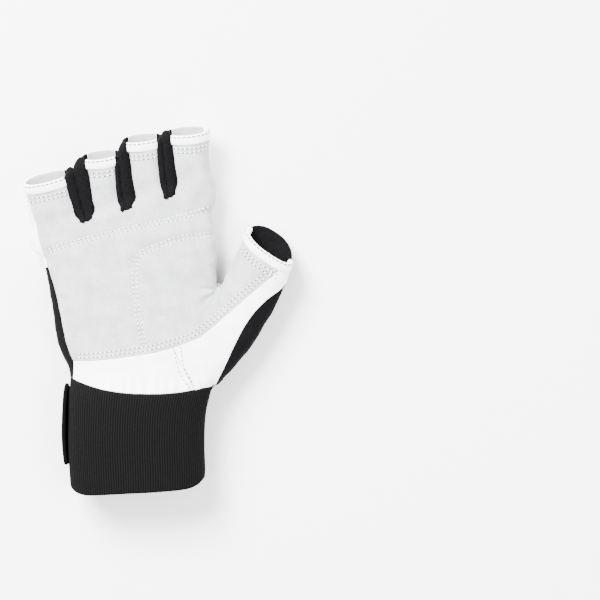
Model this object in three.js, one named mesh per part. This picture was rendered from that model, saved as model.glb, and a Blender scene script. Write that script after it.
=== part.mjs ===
// A right-hand weightlifting glove, fingerless, lying on its back with the palm up.
// Every panel is a wall of leather or cloth laid on one hand form, and sewn edges keep a small gap.
// Millimetres. +Z is up out of the palm, +Y runs to the fingertips, +X to the thumb.
// The origin is on the flat resting face under the middle of the back of the hand.

import * as THREE from 'three';

// Driving sizes of the hand. Its width is that of the four finger roots side by side, worked out below.
const PALM_LENGTH = 104; // wrist seam to finger roots
const PALM_DEPTH = 27; // palm face to back
const WRIST_WIDTH = 75;
const WRIST_DEPTH = 33;
const WRIST_SHIFT = 3.3; // the wrist's middle lies towards the thumb
const CUFF_LENGTH = 53;
const FINGER_DEPTH = 18;
const FINGER_CURL = 6; // rise of a fingertip's axis above its root
const FINGER_ROOT_HEIGHT = 11.5; // axis height at the finger roots
const FINGER_SET_IN = 9; // length of a finger's tube inside the palm
const RIM_SLANT = 2; // a finger's back is longer than its front by twice this
const THUMB_DEPTH = 18;
const THUMB_ROOT_WIDTH = 20;
const THUMB_TIP_WIDTH = 29.6;
const THUMB_SWELL = 6.8; // extra width halfway
const THUMB_BOW = 3.4; // and how far its axis bows outwards there
const THUMB_ROOT_HEIGHT = 13.5;
const THUMB_TIP_HEIGHT = 17;
const THUMB_RIM_SLANT = 4.2;
const THUMB_RIM_SKEW = 2.1; // its inner side is longer than its outer side by twice this
const TONGUE_WIDTH = 5.6; // a gusset's end where it runs onto the palm

// Walls and clearances
const SUEDE = 1.5;
const LEATHER = 1.2;
const FABRIC = 1.1;
const ELASTIC = 2.2;
const STRAP = 2.2;
const BINDING = 0.9;
const BINDING_WIDTH = 4.2;
const CLEARANCE = 0.5; // between a piece and the one that it lies on
const SEAM_GAP = 0.95; // between two panels sewn edge to edge

// Dents, pads and ribs
const QUILT_DEPTH = 0.8; // stitched channels sink this far into the padded palm
const QUILT_WIDTH = 2.6;
const WEB_BLEND = 11; // softness of the web between thumb and palm, at the ball of the thumb
const CROTCH_BLEND = 2.2; // and at its crotch
const CROTCH_BLEND_FROM = -0.2; // where it starts to sharpen, share of PALM_LENGTH
const CROTCH_BLEND_RUN = 0.26;
const CROTCH_RELEASE = 4; // how soon a panel beside the crotch reaches the thumb's own side
const CROTCH_TRIM = 0.75; // the back's cloth is drawn in by this share of a cell at the crotch
const CROTCH_TRIM_ROWS = 2; // in this many rows past it
const CROTCH_SHARE = 0.3; // and the share of the panel's columns that need not
const STRIP_BOW = 5; // the smooth strip's outer edge comes this far forward, halfway up the thumb
const ROOT_BLEND = 5; // softness of the finger roots
const STRAP_BULGE = 1.4; // the strap stands off the cuff where it turns at the little-finger side
const STRAP_LIFT = STRAP + CLEARANCE; // height of the cuff's underside above the ground
const ROUNDNESS = 2.35; // exponent of the flattened oval sections
const CROTCH_REACH = 3; // the palm's end lies this far past the row of finger roots
const GROUND_STEP_FROM = 0.36; // the form's underside climbs onto the strap from here, share of PALM_LENGTH
const GROUND_STEP_RUN = 0.13;
const CUFF_SINK = 1; // the cuff's oval reaches this far below its flat underside
const CROTCH_SET_IN = 1; // a gusset's crotch is looked for from this far below its two ends
const CROTCH_FULLNESS = 0.5; // how quickly a crotch moves to the middle of its gap, below 1 being sooner
const FULL_TURN = 360;
const HALF_TURN = 180;

// Sections of the hand from the wrist seam to the finger roots.
// along: share of PALM_LENGTH. left, right: share of HAND_WIDTH. front, back: share of PALM_DEPTH.
const PALM_SECTIONS = [
  { along: -0.39, left: -0.335, right: 0.47, front: 1.19, back: 0.02 },
  { along: -0.264, left: -0.392, right: 0.49, front: 1.11, back: -0.05 },
  { along: -0.137, left: -0.42, right: 0.49, front: 1.05, back: -0.07 },
  { along: 0.032, left: -0.447, right: 0.478, front: 1.0, back: -0.08 },
  { along: 0.2, left: -0.489, right: 0.474, front: 0.97, back: -0.07 },
  { along: 0.37, left: -0.538, right: 0.464, front: 0.93, back: -0.05 },
  { along: 0.5, left: -0.555, right: 0.441, front: 0.9, back: -0.02 },
  { along: 0.7, left: -0.57, right: 0.43, front: 0.88, back: 0.0 },
];

// Sections of the wrist. along: share of CUFF_LENGTH below the wrist seam. left, right: share of
// WRIST_WIDTH from the wrist's middle. front: share of WRIST_DEPTH above the cuff's underside.
const WRIST_SECTIONS = [
  { along: 1.3, left: -0.46, right: 0.485, front: 0.97 },
  { along: 0.85, left: -0.485, right: 0.505, front: 1.0 },
  { along: 0.5, left: -0.495, right: 0.5, front: 1.02 },
  { along: 0.2, left: -0.492, right: 0.51, front: 1.02 },
  { along: 0.0, left: -0.49, right: 0.54, front: 1.0 },
];

// Fingers from the little finger to the index finger, as tubes. root, tip: their widths in millimetres.
// rootSpace, tipSpace: the space to the next finger. rootY, tipY: where their axes start and end along
// the hand, as share of PALM_LENGTH.
const FINGERS = [
  { name: 'little', root: 30.1, tip: 26.4, rootSpace: 1.6, tipSpace: 5.8, rootY: 0.385, tipY: 0.644 },
  { name: 'ring', root: 20.8, tip: 21.4, rootSpace: 1.6, tipSpace: 1.2, rootY: 0.455, tipY: 0.764 },
  { name: 'middle', root: 21.8, tip: 21.8, rootSpace: 1.6, tipSpace: 2.2, rootY: 0.52, tipY: 0.854 },
  { name: 'index', root: 21.8, tip: 23.6, rootSpace: 0, tipSpace: 0, rootY: 0.59, tipY: 0.891 },
];
const ROOTS_START = -0.55; // outside of the little finger at its root, share of HAND_WIDTH
const TIPS_START = -0.597; // and at its rim
const FRONT_EDGE = 46; // degrees round a finger from its side to the edge of its leather front
const BACK_EDGE = -42; // and to the edge of its leather back
const LITTLE_SIDE = 158; // edge of the leather front on the outside of the little finger
const INDEX_SIDE = -22; // and on the outside of the index finger

// The thumb's tube, from its ball inside the palm to the rim: x as share of HAND_WIDTH, y of PALM_LENGTH
const THUMB = { rootX: 0.4, rootY: -0.35, tipX: 0.769, tipY: 0.286 };
const THUMB_INNER_EDGE = 196; // degrees round the thumb where front and back meet, index side
const THUMB_FRONT_EDGE = 40; // outer edge of the suede
const THUMB_STRIP_EDGE = -8; // outer edge of the smooth strip

// Rows across the palm face. left, right: height at either side, share of PALM_LENGTH. sag: extra height
// in the middle. leftEdge, rightEdge: degrees round the section where the row ends, 90 being the palm.
const FRONT_ROWS = [
  { name: 'heel', left: -0.318, right: -0.15, sag: -0.055, leftEdge: 154, rightEdge: 42 },
  { name: 'ball', left: -0.13, right: -0.03, sag: -0.03, leftEdge: 158, rightEdge: 30 },
  { name: 'thumb_root', left: 0.04, right: 0.08, sag: -0.015, leftEdge: 158, rightEdge: -8 },
  { name: 'upper_palm', left: 0.2, right: 0.36, sag: 0, leftEdge: 161, rightEdge: -18 },
  { name: 'roots', left: 0.32, right: 0.617, sag: 0, leftEdge: LITTLE_SIDE, rightEdge: INDEX_SIDE },
];
const THUMB_ROOT_ROW = 2; // the thumb leaves the palm below this row

// Rows across the back of the hand, round the other way from the little-finger side to the thumb side
const BACK_THUMB_SIDE = 302; // degrees where the thumb's back leaves the back of the hand
const BACK_ROWS = [
  { name: 'cuff_seam', left: -0.407, right: -0.45, sag: 0, leftEdge: 160, rightEdge: BACK_THUMB_SIDE },
  { name: 'ball', left: -0.13, right: -0.08, sag: 0, leftEdge: 158, rightEdge: BACK_THUMB_SIDE },
  { name: 'thumb_root', left: 0.04, right: 0.08, sag: 0, leftEdge: 158, rightEdge: 352 },
  { name: 'knuckles', left: 0.17, right: 0.22, sag: 0.05, leftEdge: 161, rightEdge: 347 },
  { name: 'roots', left: 0.32, right: 0.617, sag: 0, leftEdge: LITTLE_SIDE, rightEdge: 360 + INDEX_SIDE },
];
const KNUCKLE_ROW = 3;

// The seam round the wrist, and the cuff's hem, which turns up at either side
const CUFF_SEAM = { left: -0.407, right: -0.45, sag: -0.062, leftEdge: 160, rightEdge: 12 };
// Shares of CUFF_LENGTH below the wrist seam's middle, and how suddenly the hem turns up at the sides
const HEM = { left: 1.045, right: 0.955, sideRise: 0.1, sharpness: 9 };
const HEEL_JOIN_TOP = 0.77; // where the two smooth leathers join, as share of the heel row
const HEEL_JOIN_FOOT = 0.86; // and of the wrist seam

// The closing strap: degrees round the wrist where it starts, ends and carries its hook tab,
// and its edges, share of CUFF_LENGTH below the wrist seam's middle
const STRAP_ARC = { start: 174, end: 306, tabStart: 307.2, tabEnd: 328 };
const STRAP_EDGES = { topAtStart: -0.11, top: 0.0, foot: 0.72 };
const STRAP_SLOPE = 40; // degrees over which its upper edge comes down
const STRAP_BULGE_ANGLE = 188;
const STRAP_BULGE_SPREAD = 22;
const STRAP_BULGE_FULLNESS = 0.6;

// Quilting on the palm face: guide points, x as share of HAND_WIDTH and y of PALM_LENGTH
const QUILT_LINES = [
  [
    { x: -0.454, y: 0.254 },
    { x: -0.349, y: 0.291 },
    { x: 0.011, y: 0.376 },
    { x: 0.244, y: 0.429 },
    { x: 0.460, y: 0.487 },
  ],
  [
    { x: 0.449, y: 0.349 },
    { x: 0.288, y: 0.328 },
    { x: 0.161, y: 0.286 },
    { x: 0.078, y: 0.251 },
    { x: 0.039, y: 0.207 },
    { x: 0.028, y: 0.135 },
    { x: 0.039, y: -0.006 },
    { x: 0.055, y: -0.106 },
    { x: 0.083, y: -0.228 },
  ],
];

// How finely the panels are cut
const FINGER_COLUMNS = 6;
const FINGER_ROWS = 6;
const TONGUE_COLUMNS = 2;
const ROWS_BETWEEN = 4;
const ROW_SAMPLES = 90;
const QUILT_SAMPLES = 24;
const THUMB_ROWS = 9;
const HEEL_COLUMNS = 14;
const HEEL_ROWS = 5;
const STRIP_COLUMNS = 22;
const STRIP_REST_COLUMNS = 5; // of the rows that the heel leaves to the strip
const STRIP_ROWS = 4;
const CUFF_COLUMNS = 40;
const CUFF_ROWS = 5;
const STRAP_COLUMNS = 22;
const TAB_COLUMNS = 4;
const GUSSET_DEPTH_STEPS = 7;
const CROTCH_ROWS = 2;
const CUFF_UNDER_COLUMNS = 6;
const BINDING_ROWS = 2;
const THUMB_BINDING_COLUMNS = 20;

// How points are put onto the form
const STEP = 0.02; // of the slope's differences
const SETTLE_PASSES = 14;
const SETTLED = 1e-4;
const LONGEST_MOVE = 4; // in one pass
const HALVINGS = 20;
const MOST_TRIM = 0.45; // an edge is never drawn in by more than this share of its cell
const MERGE = 500; // points that agree to one part in this many of a millimetre are one

const { abs, cos, exp, hypot, max, min, pow, sin, PI } = Math;
const radians = (degrees) => (degrees * PI) / 180;
const mix = (a, b, t) => a + (b - a) * t;
const clamp = (x, low, high) => min(max(x, low), high);
const smoothstep = (t) => t * t * (3 - 2 * t);

const sum = (numbers) => numbers.reduce((a, b) => a + b, 0);
const HAND_WIDTH = sum(FINGERS.map((f) => f.root + f.rootSpace));

// Left edge and middle of each finger, side by side from the little finger's outside
function sideBySide(start, widthKey, spaceKey) {
  let x = start * HAND_WIDTH;
  return FINGERS.map((f) => {
    const place = { left: x, middle: x + f[widthKey] / 2, right: x + f[widthKey] };
    x += f[widthKey] + f[spaceKey];
    return place;
  });
}
const roots = sideBySide(ROOTS_START, 'root', 'rootSpace');
const tips = sideBySide(TIPS_START, 'tip', 'tipSpace');

// Sections in millimetres, ordered from the cuff to the fingers
const sections = [
  ...WRIST_SECTIONS.map((row) => ({
    y: -PALM_LENGTH / 2 - row.along * CUFF_LENGTH,
    left: WRIST_SHIFT + row.left * WRIST_WIDTH,
    right: WRIST_SHIFT + row.right * WRIST_WIDTH,
    front: STRAP_LIFT + row.front * WRIST_DEPTH,
    back: STRAP_LIFT - CUFF_SINK,
  })),
  ...PALM_SECTIONS.map((row) => ({
    y: row.along * PALM_LENGTH,
    left: row.left * HAND_WIDTH,
    right: row.right * HAND_WIDTH,
    front: row.front * PALM_DEPTH,
    back: row.back * PALM_DEPTH,
  })),
];

// Smooth value of one column of the sections at y, by a cubic through the neighbouring rows
function sectionValue(column, y) {
  let i = 0;
  while (i < sections.length - 2 && sections[i + 1].y < y) i += 1;
  const a = sections[i];
  const b = sections[i + 1];
  const before = sections[max(i - 1, 0)];
  const after = sections[min(i + 2, sections.length - 1)];
  const t = clamp((y - a.y) / (b.y - a.y), 0, 1);
  const span = b.y - a.y;
  const slopeA = ((b[column] - before[column]) / (b.y - before.y)) * span;
  const slopeB = ((after[column] - a[column]) / (after.y - a.y)) * span;
  const t2 = t * t;
  const t3 = t2 * t;
  return (
    (2 * t3 - 3 * t2 + 1) * a[column] +
    (t3 - 2 * t2 + t) * slopeA +
    (3 * t2 - 2 * t3) * b[column] +
    (t3 - t2) * slopeB
  );
}

function sectionAt(y) {
  const left = sectionValue('left', y);
  const right = sectionValue('right', y);
  const front = sectionValue('front', y);
  const back = sectionValue('back', y);
  return { x: (left + right) / 2, z: (front + back) / 2, w: (right - left) / 2, h: (front - back) / 2 };
}

// A finger or thumb as a tapered oval tube: its frame, lengths and half sizes
function limb(root, tip, rootWidth, tipWidth, depth, swell = 0, bow = 0) {
  const along = tip.clone().sub(root);
  const length = along.length();
  along.normalize();
  const across = new THREE.Vector3(along.y, -along.x, 0).normalize();
  const up = across.clone().cross(along);
  return { root, along, across, up, length, rootWidth, tipWidth, depth, swell, bow };
}

const limbWidth = (l, t) => mix(l.rootWidth, l.tipWidth, t) + l.swell * 4 * t * (1 - t);
const limbShift = (l, t) => l.bow * 4 * t * (1 - t);

const fingers = FINGERS.map((f, i) => {
  const root = new THREE.Vector3(roots[i].middle, f.rootY * PALM_LENGTH, FINGER_ROOT_HEIGHT);
  const tip = new THREE.Vector3(tips[i].middle, f.tipY * PALM_LENGTH, FINGER_ROOT_HEIGHT + FINGER_CURL);
  return { ...limb(root, tip, f.root, f.tip, FINGER_DEPTH), name: f.name };
});
const thumb = limb(
  new THREE.Vector3(THUMB.rootX * HAND_WIDTH, THUMB.rootY * PALM_LENGTH, THUMB_ROOT_HEIGHT),
  new THREE.Vector3(THUMB.tipX * HAND_WIDTH, THUMB.tipY * PALM_LENGTH, THUMB_TIP_HEIGHT),
  THUMB_ROOT_WIDTH,
  THUMB_TIP_WIDTH,
  THUMB_DEPTH,
  THUMB_SWELL,
  THUMB_BOW,
);

const oval = (a, b) => pow(pow(abs(a), ROUNDNESS) + pow(abs(b), ROUNDNESS), 1 / ROUNDNESS);

// Soft union of two fields, rounded over a distance k
function blend(a, b, k) {
  const h = max(k - abs(a - b), 0) / k;
  return min(a, b) - (h * h * k) / 4;
}

// The fields are below 0 inside the form and grow outwards.
function limbField(l, x, y, z, setIn) {
  const dx = x - l.root.x;
  const dy = y - l.root.y;
  const dz = z - l.root.z;
  const s = dx * l.along.x + dy * l.along.y + dz * l.along.z;
  const t = clamp(s / l.length, 0, 1);
  const w = limbWidth(l, t) / 2;
  const h = l.depth / 2;
  const a = (dx * l.across.x + dy * l.across.y - limbShift(l, t)) / w;
  const b = (dx * l.up.x + dy * l.up.y + dz * l.up.z) / h;
  return max((oval(a, b) - 1) * h, -s - setIn);
}

// Where the palm ends between the fingers, seen from above
const rootRow = FRONT_ROWS[FRONT_ROWS.length - 1];
function rootLine(x) {
  const across = (x - roots[0].left) / (roots[3].right - roots[0].left);
  return mix(rootRow.left, rootRow.right, across) * PALM_LENGTH + CROTCH_REACH;
}

function bodyField(x, y, z) {
  const s = sectionAt(y);
  const tube = (oval((x - s.x) / s.w, (z - s.z) / s.h) - 1) * s.h;
  return -blend(-tube, rootLine(x) - y, ROOT_BLEND);
}

// The ground that flattens the form, raised under the wrist by the strap that lies there
function groundAt(y) {
  const t = clamp((-PALM_LENGTH * GROUND_STEP_FROM - y) / (PALM_LENGTH * GROUND_STEP_RUN), 0, 1);
  return STRAP_LIFT * smoothstep(t);
}

// The web's softness, which sharpens towards the thumb's crotch
function webBlend(y) {
  const t = clamp((y / PALM_LENGTH - CROTCH_BLEND_FROM) / CROTCH_BLEND_RUN, 0, 1);
  return mix(WEB_BLEND, CROTCH_BLEND, smoothstep(t));
}

// The whole form, or the form with only some of the fingers
function field(x, y, z, only = fingers) {
  let tubes = Infinity;
  for (const finger of only) tubes = min(tubes, limbField(finger, x, y, z, FINGER_SET_IN));
  let f = bodyField(x, y, z);
  if (tubes < Infinity) f = blend(f, tubes, ROOT_BLEND);
  f = blend(f, limbField(thumb, x, y, z, 0), webBlend(y));
  return max(f, groundAt(y) - z);
}

function slope(p, only) {
  const { x, y, z } = p;
  return new THREE.Vector3(
    field(x + STEP, y, z, only) - field(x - STEP, y, z, only),
    field(x, y + STEP, z, only) - field(x, y - STEP, z, only),
    field(x, y, z + STEP, only) - field(x, y, z - STEP, only),
  ).divideScalar(2 * STEP);
}

// Moves a point near the form onto its surface, down the field's slope
function settle(point, only) {
  const p = point.clone();
  for (let i = 0; i < SETTLE_PASSES; i += 1) {
    const f = field(p.x, p.y, p.z, only);
    if (abs(f) < SETTLED) break;
    const g = slope(p, only);
    p.addScaledVector(g, clamp(-f / g.lengthSq(), -LONGEST_MOVE, LONGEST_MOVE));
  }
  return p;
}

// First point of the surface met from a point inside the form
function cast(from, direction, only) {
  const at = (s) => {
    const p = from.clone().addScaledVector(direction, s);
    return field(p.x, p.y, p.z, only);
  };
  let outside = 1;
  while (at(outside) < 0 && outside < PALM_DEPTH) outside += 1;
  let inside = outside - 1;
  for (let i = 0; i < HALVINGS; i += 1) {
    const middle = (inside + outside) / 2;
    if (at(middle) < 0) inside = middle;
    else outside = middle;
  }
  return from.clone().addScaledVector(direction, outside);
}

const bulge = (c) => Math.sign(c) * pow(abs(c), 2 / ROUNDNESS);

// A point of the palm's oval at y, at an angle round it: 0 thumb side, 90 palm, 180 little-finger side
function onBody(y, angle) {
  const s = sectionAt(y);
  const a = radians(angle);
  return new THREE.Vector3(s.x + s.w * bulge(cos(a)), y, s.z + s.h * bulge(sin(a)));
}

// A point of a finger's or thumb's oval, s along it from the root, at an angle round it like onBody's
function onLimb(l, s, angle) {
  const a = radians(angle);
  const t = clamp(s / l.length, 0, 1);
  const half = limbWidth(l, t) / 2;
  return l.root
    .clone()
    .addScaledVector(l.along, s)
    .addScaledVector(l.across, half * bulge(cos(a)) + limbShift(l, t))
    .addScaledVector(l.up, (l.depth / 2) * bulge(sin(a)));
}

// A point on the rim, which runs further up the back than up the front
function rimPoint(l, slant, angle) {
  const skew = l === thumb ? THUMB_RIM_SKEW : 0;
  return onLimb(l, l.length - slant * sin(radians(angle)) - skew * cos(radians(angle)), angle);
}

const range = (n) => Array.from({ length: n }, (_, i) => i);
const steps = (n) => range(n + 1).map((i) => i / n);

// How high a row lies at an angle round the section
function rowHeight(row, angle) {
  const across = (1 + cos(radians(angle))) / 2;
  return (mix(row.left, row.right, across) + row.sag * 4 * across * (1 - across)) * PALM_LENGTH;
}

// A row across the hand as a dense run of points on the palm's oval, from its left edge to its right.
// Its height along the hand follows the distance across, seen from above.
function rowCurve(row) {
  return steps(ROW_SAMPLES).map((t) => {
    const angle = mix(row.leftEdge, row.rightEdge, t);
    return onBody(rowHeight(row, angle), angle);
  });
}

const lerpPoint = (a, b, t) => a.clone().lerp(b, t);

// Points at given shares of a polyline's length
function pointsAt(points, shares) {
  const lengths = [0];
  for (let i = 1; i < points.length; i += 1) {
    lengths.push(lengths[i - 1] + points[i].distanceTo(points[i - 1]));
  }
  const total = lengths[lengths.length - 1];
  return shares.map((share) => {
    let i = 1;
    while (i < points.length - 1 && lengths[i] < share * total) i += 1;
    const run = lengths[i] - lengths[i - 1];
    return lerpPoint(points[i - 1], points[i], (share * total - lengths[i - 1]) / run);
  });
}

// The share of a polyline's length at which it first reaches x, seen from above
function shareOfX(points, x) {
  let before = 0;
  let total = 0;
  points.forEach((p, i) => {
    const d = i ? p.distanceTo(points[i - 1]) : 0;
    if (p.x < x) before = total + d;
    total += d;
  });
  return before / total;
}

const rowPoints = (row, shares, only) => pointsAt(rowCurve(row), shares).map((p) => settle(p, only));

// A row part-way between two rows of a table
function rowBetween(a, b, t) {
  const row = {};
  for (const key of ['left', 'right', 'sag', 'leftEdge', 'rightEdge']) row[key] = mix(a[key], b[key], t);
  return row;
}

// Every row of a face, from the first table row to the last
function fullRows(table, between) {
  const rows = [table[0]];
  for (let i = 1; i < table.length; i += 1) {
    for (const t of steps(between).slice(1)) rows.push(rowBetween(table[i - 1], table[i], t));
  }
  return rows;
}

// A smooth run of points between matching curves, each shifted and then put back onto the form
const nowhere = new THREE.Vector3();
const spanBetween = (curveA, curveB, count, only, shift = () => nowhere) =>
  steps(count).map((t) =>
    curveA.map((a, i) => settle(lerpPoint(a, curveB[i], t).add(shift(t, i)), only)));

const resample = (points, count) => pointsAt(points, steps(count));

// Draws the named edges of a grid of points in by the seam gap
function trimmed(grid, edges) {
  const out = grid.map((row) => row.map((p) => p.clone()));
  const pull = (target, edge, inner) => {
    const distance = edge.distanceTo(inner);
    target.lerp(inner, distance > 0 ? min(SEAM_GAP / distance, MOST_TRIM) : 0);
  };
  const last = grid.length - 1;
  const end = grid[0].length - 1;
  const eachColumn = (change) => range(end + 1).forEach(change);
  if (edges.includes('first')) eachColumn((i) => pull(out[0][i], grid[0][i], grid[1][i]));
  if (edges.includes('last')) eachColumn((i) => pull(out[last][i], grid[last][i], grid[last - 1][i]));
  if (edges.includes('start')) out.forEach((row) => pull(row[0], row[0].clone(), row[1]));
  if (edges.includes('end')) out.forEach((row) => pull(row[end], row[end].clone(), row[end - 1]));
  return out;
}

// Distance from (x, y) to a polyline seen from above
function planDistance(points, p) {
  let nearest = Infinity;
  for (let i = 1; i < points.length; i += 1) {
    const a = points[i - 1];
    const b = points[i];
    const dx = b.x - a.x;
    const dy = b.y - a.y;
    const t = clamp(((p.x - a.x) * dx + (p.y - a.y) * dy) / (dx * dx + dy * dy), 0, 1);
    nearest = min(nearest, hypot(p.x - a.x - dx * t, p.y - a.y - dy * t));
  }
  return nearest;
}

const quiltPaths = QUILT_LINES.map((line) => {
  const guide = line.map((g) => new THREE.Vector3(g.x * HAND_WIDTH, g.y * PALM_LENGTH, 0));
  return new THREE.CatmullRomCurve3(guide).getPoints(QUILT_SAMPLES);
});
const quiltDip = (p) => {
  const d = min(...quiltPaths.map((path) => planDistance(path, p)));
  return -QUILT_DEPTH * exp(-((d / QUILT_WIDTH) ** 2));
};

// 1 or -1: whether a grid cell runs one way round or the other about the form's outward slope
function facingOf(corner, before, above, only) {
  const normal = corner.clone().sub(before).cross(above.clone().sub(corner));
  return Math.sign(normal.dot(slope(corner, only)));
}

// One closed wall from patches of surface points that share their common edges.
// low and high are the distances of its two faces from the form. relief moves the outer face, or both.
function wall(patches, low, high, relief = () => 0, both = false) {
  const index = new Map();
  const points = [];
  const quads = [];
  const idOf = (p) => {
    const key = p.toArray().map((v) => Math.round(v * MERGE)).join();
    if (!index.has(key)) {
      index.set(key, points.length);
      points.push(p);
    }
    return index.get(key);
  };
  for (const { grid, only } of patches) {
    const ids = grid.map((row) => row.map(idOf));
    const cells = grid.slice(1).flatMap((row, j) =>
      row.slice(1).map((p, i) => facingOf(p, row[i], grid[j][i + 1], only)));
    const facing = sum(cells);
    for (let j = 1; j < ids.length; j += 1) {
      for (let i = 1; i < ids[0].length; i += 1) {
        const quad = [ids[j][i - 1], ids[j][i], ids[j - 1][i], ids[j - 1][i - 1]];
        quads.push(facing > 0 ? quad : quad.reverse());
      }
    }
  }
  const owner = new Map();
  patches.forEach(({ grid, only }) => grid.flat().forEach((p) => owner.set(idOf(p), only)));
  const normals = points.map((p, i) => slope(p, owner.get(i)).normalize());
  const inner = points.map((p, i) => p.clone().addScaledVector(normals[i], low + (both ? relief(p) : 0)));
  const outer = points.map((p, i) => p.clone().addScaledVector(normals[i], high + relief(p)));
  const n = points.length;
  const triangles = [];
  const edges = new Map();
  const side = (a, b, c, d) => triangles.push([a, b, c], [a, c, d]);
  const face = (quad) => {
    const ring = quad.filter((v, i) => v !== quad[(i + 1) % 4]);
    if (ring.length < 3) return;
    for (let i = 2; i < ring.length; i += 1) {
      triangles.push([ring[0] + n, ring[i - 1] + n, ring[i] + n]);
      triangles.push([ring[i], ring[i - 1], ring[0]]);
    }
    ring.forEach((a, i) => {
      const b = ring[(i + 1) % ring.length];
      edges.set(`${a},${b}`, [a, b]);
    });
  };
  quads.forEach(face);
  for (const [a, b] of edges.values()) {
    if (!edges.has(`${b},${a}`)) side(a, b, b + n, a + n);
  }
  const geometry = new THREE.BufferGeometry();
  const all = [...inner, ...outer];
  geometry.setAttribute('position', new THREE.Float32BufferAttribute(all.flatMap((p) => p.toArray()), 3));
  geometry.setIndex(triangles.flat());
  geometry.computeVertexNormals();
  return geometry;
}

const material = (color, roughness) => new THREE.MeshStandardMaterial({ color, roughness, metalness: 0 });
const suede = material(0xd9dadb, 0.95);
const smoothLeather = material(0xf1f3f7, 0.5);
const stretchCloth = material(0x1a1b1d, 0.9);
const elasticCloth = material(0x202224, 0.85);
const hookCloth = material(0x121314, 0.95);

const glove = new THREE.Group();
function piece(name, geometry, look) {
  const mesh = new THREE.Mesh(geometry, look);
  mesh.name = name;
  glove.add(mesh);
}

// Shares of the columns across a face at the finger roots: each finger's stretch, then the tongue by it.
// first and last hold the columns at which a finger's stretch begins and ends.
function columnsFor(rootsCurve) {
  const shares = [];
  const spans = fingers.map((finger, i) => {
    const from = i === 0 ? 0 : shareOfX(rootsCurve, roots[i].left + TONGUE_WIDTH / 2);
    const to = i === 3 ? 1 : shareOfX(rootsCurve, roots[i].right - TONGUE_WIDTH / 2);
    if (i > 0) {
      const before = shares[shares.length - 1];
      shares.push(...steps(TONGUE_COLUMNS).slice(1, -1).map((t) => mix(before, from, t)));
    }
    const first = shares.length;
    shares.push(...steps(FINGER_COLUMNS).map((t) => mix(from, to, t)));
    return { first, last: shares.length - 1 };
  });
  return { shares, spans };
}

// The point of a polyline that rises along the hand at which it reaches y
function pointAtY(points, y) {
  let i = 1;
  while (i < points.length - 1 && points[i].y < y) i += 1;
  const [a, b] = [points[i - 1], points[i]];
  return lerpPoint(a, b, clamp((y - a.y) / (b.y - a.y), 0, 1));
}

const gaps = range(FINGERS.length - 1); // between neighbouring fingers
const lastFinger = FINGERS.length - 1;

// A face of the hand: its rows, and its fingers from the root row up to their rims between two angles.
// A face that is sewn to another takes its two edges from it.
function face(rows, rimAngles, leftEdge, rightEdge) {
  const columns = columnsFor(rowCurve(rows[rows.length - 1]));
  const grid = fullRows(rows, ROWS_BETWEEN).map((row) => rowPoints(row, columns.shares));
  for (const row of leftEdge ? grid : []) {
    const end = row.length - 1;
    row[0] = pointAtY(leftEdge, row[0].y);
    if (row[end].y >= rightEdge[0].y) row[end] = pointAtY(rightEdge, row[end].y);
  }
  const rootPoints = grid[grid.length - 1];
  const fingerPatches = fingers.map((finger, i) => {
    const only = [finger];
    const { first, last } = columns.spans[i];
    const [from, to] = rimAngles(i);
    const rim = steps(FINGER_COLUMNS).map((t) => rimPoint(finger, RIM_SLANT, mix(from, to, t)));
    return { grid: spanBetween(rootPoints.slice(first, last + 1), rim, FINGER_ROWS, only), only };
  });
  const { spans } = columns;
  const tongues = gaps.map((i) => [rootPoints[spans[i].last], rootPoints[spans[i + 1].first]]);
  return { grid, fingerPatches, tongues };
}

const leftAngle = (i, edge) => (i === 0 ? LITTLE_SIDE : HALF_TURN - edge);
const rightAngle = (i, edge) => (i === lastFinger ? INDEX_SIDE : edge);
const frontAngles = (i) => [leftAngle(i, FRONT_EDGE), rightAngle(i, FRONT_EDGE)];
const backAngles = (i) => [leftAngle(i, BACK_EDGE), FULL_TURN + rightAngle(i, BACK_EDGE)];
const front = face(FRONT_ROWS, frontAngles);
const thumbRow = THUMB_ROOT_ROW * ROWS_BETWEEN;
const leftColumn = (rows) => rows.map((row) => row[0]);
const rightColumn = (rows) => rows.map((row) => row[row.length - 1]);
const thumbRimPoint = (angle) => rimPoint(thumb, THUMB_RIM_SLANT, angle);
const thumbRim = (from, to, count) => steps(count).map((t) => thumbRimPoint(mix(from, to, t)));
const noFingers = [];

// How far a thumb panel's straight span from a root point to the rim is moved onto a path along the
// thumb's own tube. share is 1 in the column beside the crotch, where the span would cross the notch.
function crotchShift(from, to, rimAngle, t, share) {
  const d = from.clone().sub(thumb.root);
  const s = d.dot(thumb.along);
  const half = clamp(s / thumb.length, 0, 1);
  const sideways = (d.dot(thumb.across) - limbShift(thumb, half)) / (limbWidth(thumb, half) / 2);
  const upwards = d.dot(thumb.up) / (thumb.depth / 2);
  const turn = (Math.atan2(upwards, sideways) * HALF_TURN) / PI;
  const angle = turn + FULL_TURN * Math.round((rimAngle - turn) / FULL_TURN);
  const rimAt = to.clone().sub(thumb.root).dot(thumb.along);
  const start = onLimb(thumb, s, angle);
  const path = onLimb(thumb, mix(s, rimAt, t), mix(angle, rimAngle, t));
  path.addScaledVector(from.clone().sub(start), (1 - t) ** CROTCH_RELEASE);
  const weight = smoothstep(clamp((share - CROTCH_SHARE) / (1 - CROTCH_SHARE), 0, 1));
  return path.sub(lerpPoint(from, to, t)).multiplyScalar(weight);
}

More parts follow.
